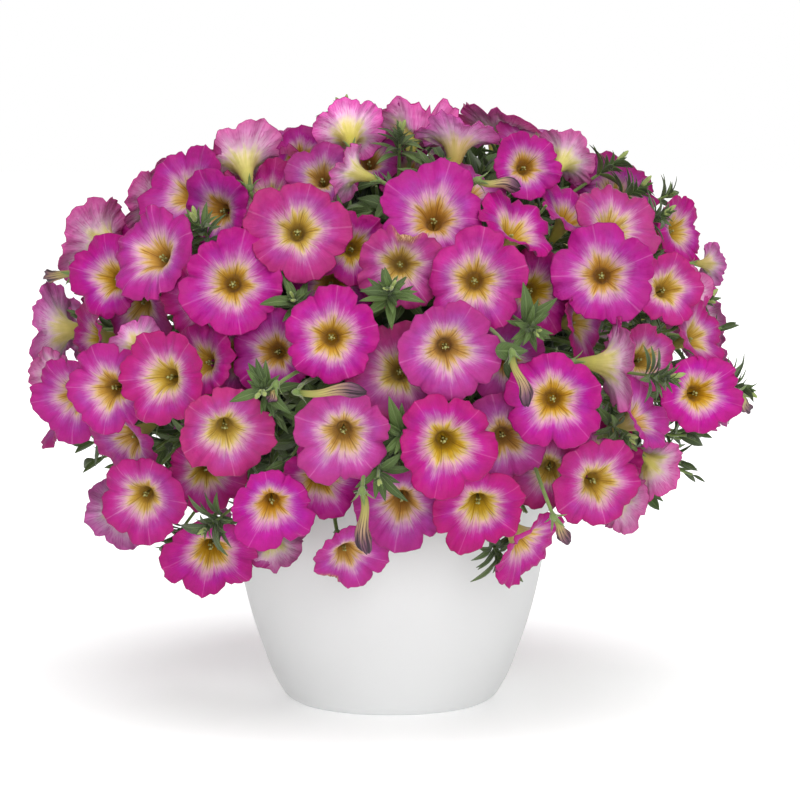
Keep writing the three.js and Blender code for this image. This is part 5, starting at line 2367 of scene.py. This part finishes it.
@dataclass
class Spent:
    """Withered blooms and buds: twisted, pleated spindles on stalks out of the heart."""

    blooms: Blooms
    petals: Petals
    heart: Heart = field(default_factory=Heart)
    around: int = 20
    end_share: float = 0.45
    depth: float = 12
    calyx: float = 0.8
    rows: int = 22
    stalk_radii: Pair = (1.4, 1.1)
    swell: tuple[Pair, ...] = (
        (0, 0.45), (0.08, 0.5), (0.35, 0.6), (0.62, 0.8), (0.8, 1.05), (0.93, 0.8), (1, 0.25),
    )
    roots: tuple[Pair, ...] = (
        (0, 0), (0.2, 0), (-0.2, 0), (0, 0.2), (0, -0.2), (0.4, 0), (-0.4, 0), (0, 0.4), (0, -0.4),
        (0.3, 0.3), (-0.3, 0.3), (0.3, -0.3), (-0.3, -0.3),
    )
    tries: tuple[Triple, ...] = (
        (0, 0, 0), (0, 0, 6), (8, 0, 3), (-8, 0, 3), (0, 8, 3), (0, -8, 3), (12, 8, 6), (-12, 8, 6),
        (12, -8, 6), (-12, -8, 6), (16, 0, 6), (-16, 0, 6), (0, 16, 6), (0, -16, 6), (0, 0, 10),
        (8, 0, 12), (-8, 0, 12), (0, 8, 12), (0, -8, 12),
    )

    def build(self) -> None:
        """Make and dress them where the frame has them, with their stalks and calyces."""
        shell = Shell()
        stalks = Lines()
        calyces = Spots()
        corners = node_points("foliage")
        for index, row in enumerate(SPENT_ROWS):
            ends = self.find(row, corners)
            if ends is None:
                LOG.info("spent bloom %d is not in the frame", index)
                continue
            self.add(shell, *ends, row.radius, index)
            line = self.stalk(*ends)
            stalks.add(line, np.linspace(*self.stalk_radii, len(line)))
            calyces.add(ends[0], upright_turn(unit(ends[1] - ends[0])), self.calyx, 0, 0.5)
        seat(shell.piece("withered_blooms", WitheredFinish().material()), Slot.PETAL, "foliage")
        green = StalkFinish("withered_stalk").material()
        seat(stalks.grow("withered_stalks", green), Slot.FOLIAGE, "foliage")
        seat(calyces.grow("withered_calyces", [self.blooms.sepals()], green), Slot.FOLIAGE, "foliage")

    def stalk(self, start: Point, end: Point) -> Point:
        """The line of one's stalk: the first way out of the heart that is most clear of petals.

        Args:
            start: The foot of its tube.
            end: Its far end.

        Returns:
            The line's points, from the heart into the tube.
        """
        way = unit(end - start)
        line = unit(start - self.heart.middle)
        aside = unit(np.cross(line, UP))
        found = []
        for turn, pitch in self.roots:
            root = self.heart.skin(about_axis(aside, pitch) @ about_axis(UP, turn) @ line, -self.depth)
            along = unit(start - root)
            found.append(bent(root, start + 1.5 * way, along, unit(2 * along + way), 16))
        return min(found, key=lambda one: int((~self.petals.clear(one, 0.5, 30.0)).sum()))

    def find(self, row: SpentRow, corners: Point) -> tuple[Point, Point] | None:
        """Where the frame has a spindle: the first try with its end's corners.

        Args:
            row: The spindle's row.
            corners: The corners of the frame's node.

        Returns:
            Its two ends, or nothing where the frame has none.
        """
        plan = self.blooms.plan
        for right, below, nearer in self.tries:
            depth = row.depth - nearer
            start = plan.eye.meets(plan.dome, row.across + right, row.down + below, depth)[0]
            end = plan.eye.meets(plan.dome, row.to_across + right, row.to_down + below, depth)[0]
            reach = np.linalg.norm(corners - end, axis=1)
            if (np.abs(reach - self.end_share * row.radius) < 0.03).sum() >= 2:
                return start, end
        return None

    def add(self, shell: Shell, start: Point, end: Point, radius: float, index: int) -> None:
        """Add one spindle: its tube, its collapsed petals and their curled tips.

        Args:
            shell: The piece.
            start: The foot of its tube.
            end: Its far end.
            radius: Its radius.
            index: Its number, which its folds and its look follow.
        """
        share = np.linspace(0, 1, self.rows)[:, None]
        turns = round_turns(self.around)
        tube = np.interp(share, *np.array(self.swell).T)
        pleat = 0.3 * smooth_step(0.3, 0.8, share) * np.sin(5 * turns + 4.5 * share + index)
        crumple = 0.1 * smooth_step(0.4, 0.9, share) * np.sin(11 * turns - 9 * share + 2 * index)
        reach = 0.77 * radius * tube * (1 + pleat + crumple)
        curled = 0.6 * np.sin(3 * turns + index) * share**3
        points = turned(reach, turns, share * np.linalg.norm(end - start) + curled)
        points[:, 0] += 1.2 * np.sin(2.2 * math.pi * np.repeat(share, self.around))
        points = points @ upright_turn(unit(end - start)).T + start
        faces, places = closed_tube(self.rows, self.around)
        far_end = self.around // 2 - 1
        places[-far_end:] = 1
        shell.add(points, faces, places, shade=np.array(index / len(SPENT_ROWS)))


# The pot, its soil and the room


@dataclass
class Pot:
    """The plain round pot, turned from the profile (reach, height) that the frame has."""

    outline: tuple[Pair, ...] = (
        (57.5, 0), (61.8, 2.5), (67, 10), (77, 34), (87.6, 71), (92.4, 100), (95, 140),
    )
    wall: float = 4
    floor: float = 5
    rim: float = 142
    sides: int = 128
    steps: int = 8
    middle: float = 0.5
    lip_steps: int = 9

    def profile(self) -> list[Pair]:
        """Its section, from the middle of the base round the rim to the middle inside.

        Returns:
            Its points, each a reach and a height.
        """
        reach, height = np.array(self.outline, float).T
        way = np.concatenate([[0], np.cumsum(np.hypot(np.diff(reach), np.diff(height)))])
        parts = [np.linspace(low, high, self.steps, endpoint=False) for low, high in zip(way, way[1:])]
        fine = np.concatenate([*parts, way[-1:]])
        side = list(zip(smooth_line(way, reach, fine), smooth_line(way, height, fine)))
        half = self.wall / 2
        top = self.outline[-1][0] - half
        lip = [
            (top + half * math.cos(turn), self.rim - half + half * math.sin(turn))
            for turn in np.linspace(0, math.pi, self.lip_steps)[1:-1]
        ]
        inside = [(x - self.wall, z) for x, z in reversed(side) if z > self.floor + 3]
        corner = (inside[-1][0] - 3, self.floor)
        return [(self.middle, 0), (40, 0), *side, *lip, *inside, corner, (self.middle, self.floor)]

    def build(self) -> None:
        """Make and dress it."""
        shell = Shell()
        shell.add(*lathe([(height, reach) for reach, height in self.profile()], self.sides))
        seat(shell.piece("pot_shell", PotFinish().material()), Slot.POT, "pot")


def smooth_line(way: Point, values: Point, fine: Point) -> Point:
    """Values along a way, through every given one without a corner.

    Args:
        way: How far along each given value is.
        values: The given values.
        fine: How far along to read them.

    Returns:
        The value at each.
    """
    slopes = np.gradient(values, way)
    low = np.clip(np.searchsorted(way, fine, side="right") - 1, 0, len(way) - 2)
    span = way[low + 1] - way[low]
    share = (fine - way[low]) / span
    first = 2 * share**3 - 3 * share**2 + 1
    second = share**3 - 2 * share**2 + share
    third = share**3 - share**2
    return (
        first * values[low] + second * span * slopes[low]
        + (1 - first) * values[low + 1] + third * span * slopes[low + 1]
    )


@dataclass
class Soil:
    """The soil in the pot: a crumbly bed with loose crumbs on it."""

    top: float = 126.5
    reach: float = 89.5
    middle: float = 0.6
    flank: tuple[Pair, ...] = ((6, 59), (60, 80.5), (100, 87.5))
    sides: int = 72
    rings: int = 30
    disc_sides: int = 24
    disc_rings: int = 6
    crumbs: float = 26000.0
    smallest: float = 0.6
    largest: float = 1.9
    seed: int = 90

    def build(self) -> None:
        """Make and dress the bed and its crumbs."""
        material = SoilFinish().material()
        rings = [*self.flank, (self.top - 2, self.reach)]
        rings += [(self.top, reach) for reach in np.linspace(self.reach - 1, self.middle, self.rings)]
        points, faces, places = lathe(rings, self.sides)
        high = points[:, 2] > self.top - 1
        wave = np.sin(points[:, 0] * 0.31) * np.cos(points[:, 1] * 0.27)
        fine = np.sin(points[:, 0] * 1.1 + points[:, 1]) * np.sin(points[:, 1] * 1.3)
        points[:, 2] += high * (0.7 * wave + 0.5 * fine)
        bed = Shell()
        bed.add(points, faces, places * 0)
        seat(bed.piece("soil_bed", material), Slot.SOIL, "soil")
        seat(self.loose(material), Slot.SOIL, "soil")

    def loose(self, material: Material) -> Object:
        """Loose crumbs on the bed.

        Args:
            material: Their material.

        Returns:
            The piece.
        """
        disc = Shell()
        reaches = np.linspace(self.reach - 3, self.middle, self.disc_rings)
        points, faces, places = lathe([(self.top, reach) for reach in reaches], self.disc_sides)
        count = self.disc_sides * (self.disc_rings - 1)
        disc.add(points, faces[:count], places[:count])
        growth = Growth(
            "crumbs",
            Density=("NodeSocketFloat", self.crumbs),
            Smallest=("NodeSocketFloat", self.smallest * MM),
            Largest=("NodeSocketFloat", self.largest * MM),
            Seed=("NodeSocketInt", self.seed),
        )
        spread = {"Mesh": growth.input("Geometry"), "Density": growth.input("Density"),
                  "Seed": growth.input("Seed")}
        size = {2: growth.input("Smallest"), 3: growth.input("Largest"), "Seed": growth.input("Seed")}
        turn = {0: (0.0, 0.0, 0.0), 1: (6.0, 6.0, 6.0), "Seed": 3}
        grown = growth.value("GeometryNodeInstanceOnPoints", {
            "Points": growth.value("GeometryNodeDistributePointsOnFaces", spread, "Points"),
            "Instance": growth.value("GeometryNodeMeshIcoSphere", {"Radius": 1.0, "Subdivisions": 1}),
            "Rotation": growth.value("FunctionNodeRandomValue", turn, data_type="FLOAT_VECTOR"),
            "Scale": growth.value("FunctionNodeRandomValue", size, 1),
        })
        growth.finish(grown, material)
        return growth.run("soil_crumbs", disc.mesh("disc"))


@dataclass(frozen=True)
class SoftLight:
    """A square light in the room that faces the plant: metres and watts."""

    name: str
    place: Triple
    size: float
    power: float
    toward: Triple = (0, 0, 0.2)

    def build(self) -> None:
        """Set it up."""
        lamp = bpy.data.lights.new(self.name, "AREA")
        lamp.size = self.size
        lamp.energy = self.power
        way = unit(np.array(self.toward) - self.place)
        thing = placed(self.name, lamp)
        thing.location = self.place
        thing.rotation_euler = Matrix(upright_turn(-way).tolist()).to_euler()


@dataclass
class Studio:
    """A plain pale floor, soft light and the picture's camera: metres and degrees."""

    eye: Eye = field(default_factory=Eye)
    sensor: float = 36
    frame: float = 800
    soft: float = 0.27
    seen: float = 1.0
    above: float = 2.12
    above_width: float = 50
    above_turns: Triple = (28, 0, 8)
    half: float = 6.0
    lights: tuple[SoftLight, ...] = (
        SoftLight("front", (0.35, -2.6, 0.7), 1.2, 25), SoftLight("back", (0.3, 2.4, 1.3), 1.5, 18),
    )

    def build(self) -> None:
        """Set everything up."""
        self.camera()
        self.floor()
        for light in self.lights:
            light.build()
        self.sky()
        self.room()

    def room(self) -> None:
        """The pale room, which is softer as a light than as a background."""
        world = bpy.data.worlds.new("room")
        world.use_nodes = True
        nodes = Nodes(world.node_tree)
        seen = nodes.value("ShaderNodeLightPath", output="Is Camera Ray")
        levels = {"Value": seen, "To Min": self.soft, "To Max": self.seen}
        strength = nodes.value("ShaderNodeMapRange", levels)
        background = world.node_tree.nodes["Background"]
        nodes.fill(background, {"Color": (1, 1, 1, 1), "Strength": strength})
        bpy.context.scene.world = world
        bpy.context.scene.view_settings.view_transform = "Standard"

    def camera(self) -> None:
        """The picture's camera."""
        lens = bpy.data.cameras.new("camera")
        lens.sensor_width = self.sensor
        lens.lens = self.eye.focal * self.sensor / self.frame
        camera = placed("camera", lens)
        camera.location = [value * MM for value in self.eye.place]
        camera.rotation_euler = (math.radians(90 - self.eye.down), 0, 0)
        bpy.context.scene.camera = camera

    def floor(self) -> None:
        """The floor."""
        mesh = bpy.data.meshes.new("floor")
        corners = [(x * self.half, y * self.half, 0) for x, y in ((-1, -1), (1, -1), (1, 1), (-1, 1))]
        mesh.from_pydata(corners, [], [(0, 1, 2, 3)])
        dressed("floor", mesh, FloorFinish().material())

    def sky(self) -> None:
        """A broad soft light from above the front."""
        lamp = bpy.data.lights.new("above", "SUN")
        lamp.energy = self.above
        lamp.angle = math.radians(self.above_width)
        placed("above", lamp).rotation_euler = [math.radians(turn) for turn in self.above_turns]


def main() -> None:
    """Build every sub-assembly in order."""
    logging.basicConfig(level=logging.INFO, format="%(message)s")
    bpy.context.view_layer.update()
    Studio().build()
    Pot().build()
    Soil().build()
    blooms = Blooms()
    blooms.gather()
    blooms.build()
    petals = Petals(blooms.blooms)
    Bush(petals).build()
    Spent(blooms, petals).build()
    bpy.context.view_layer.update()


if __name__ == "__main__":
    main()
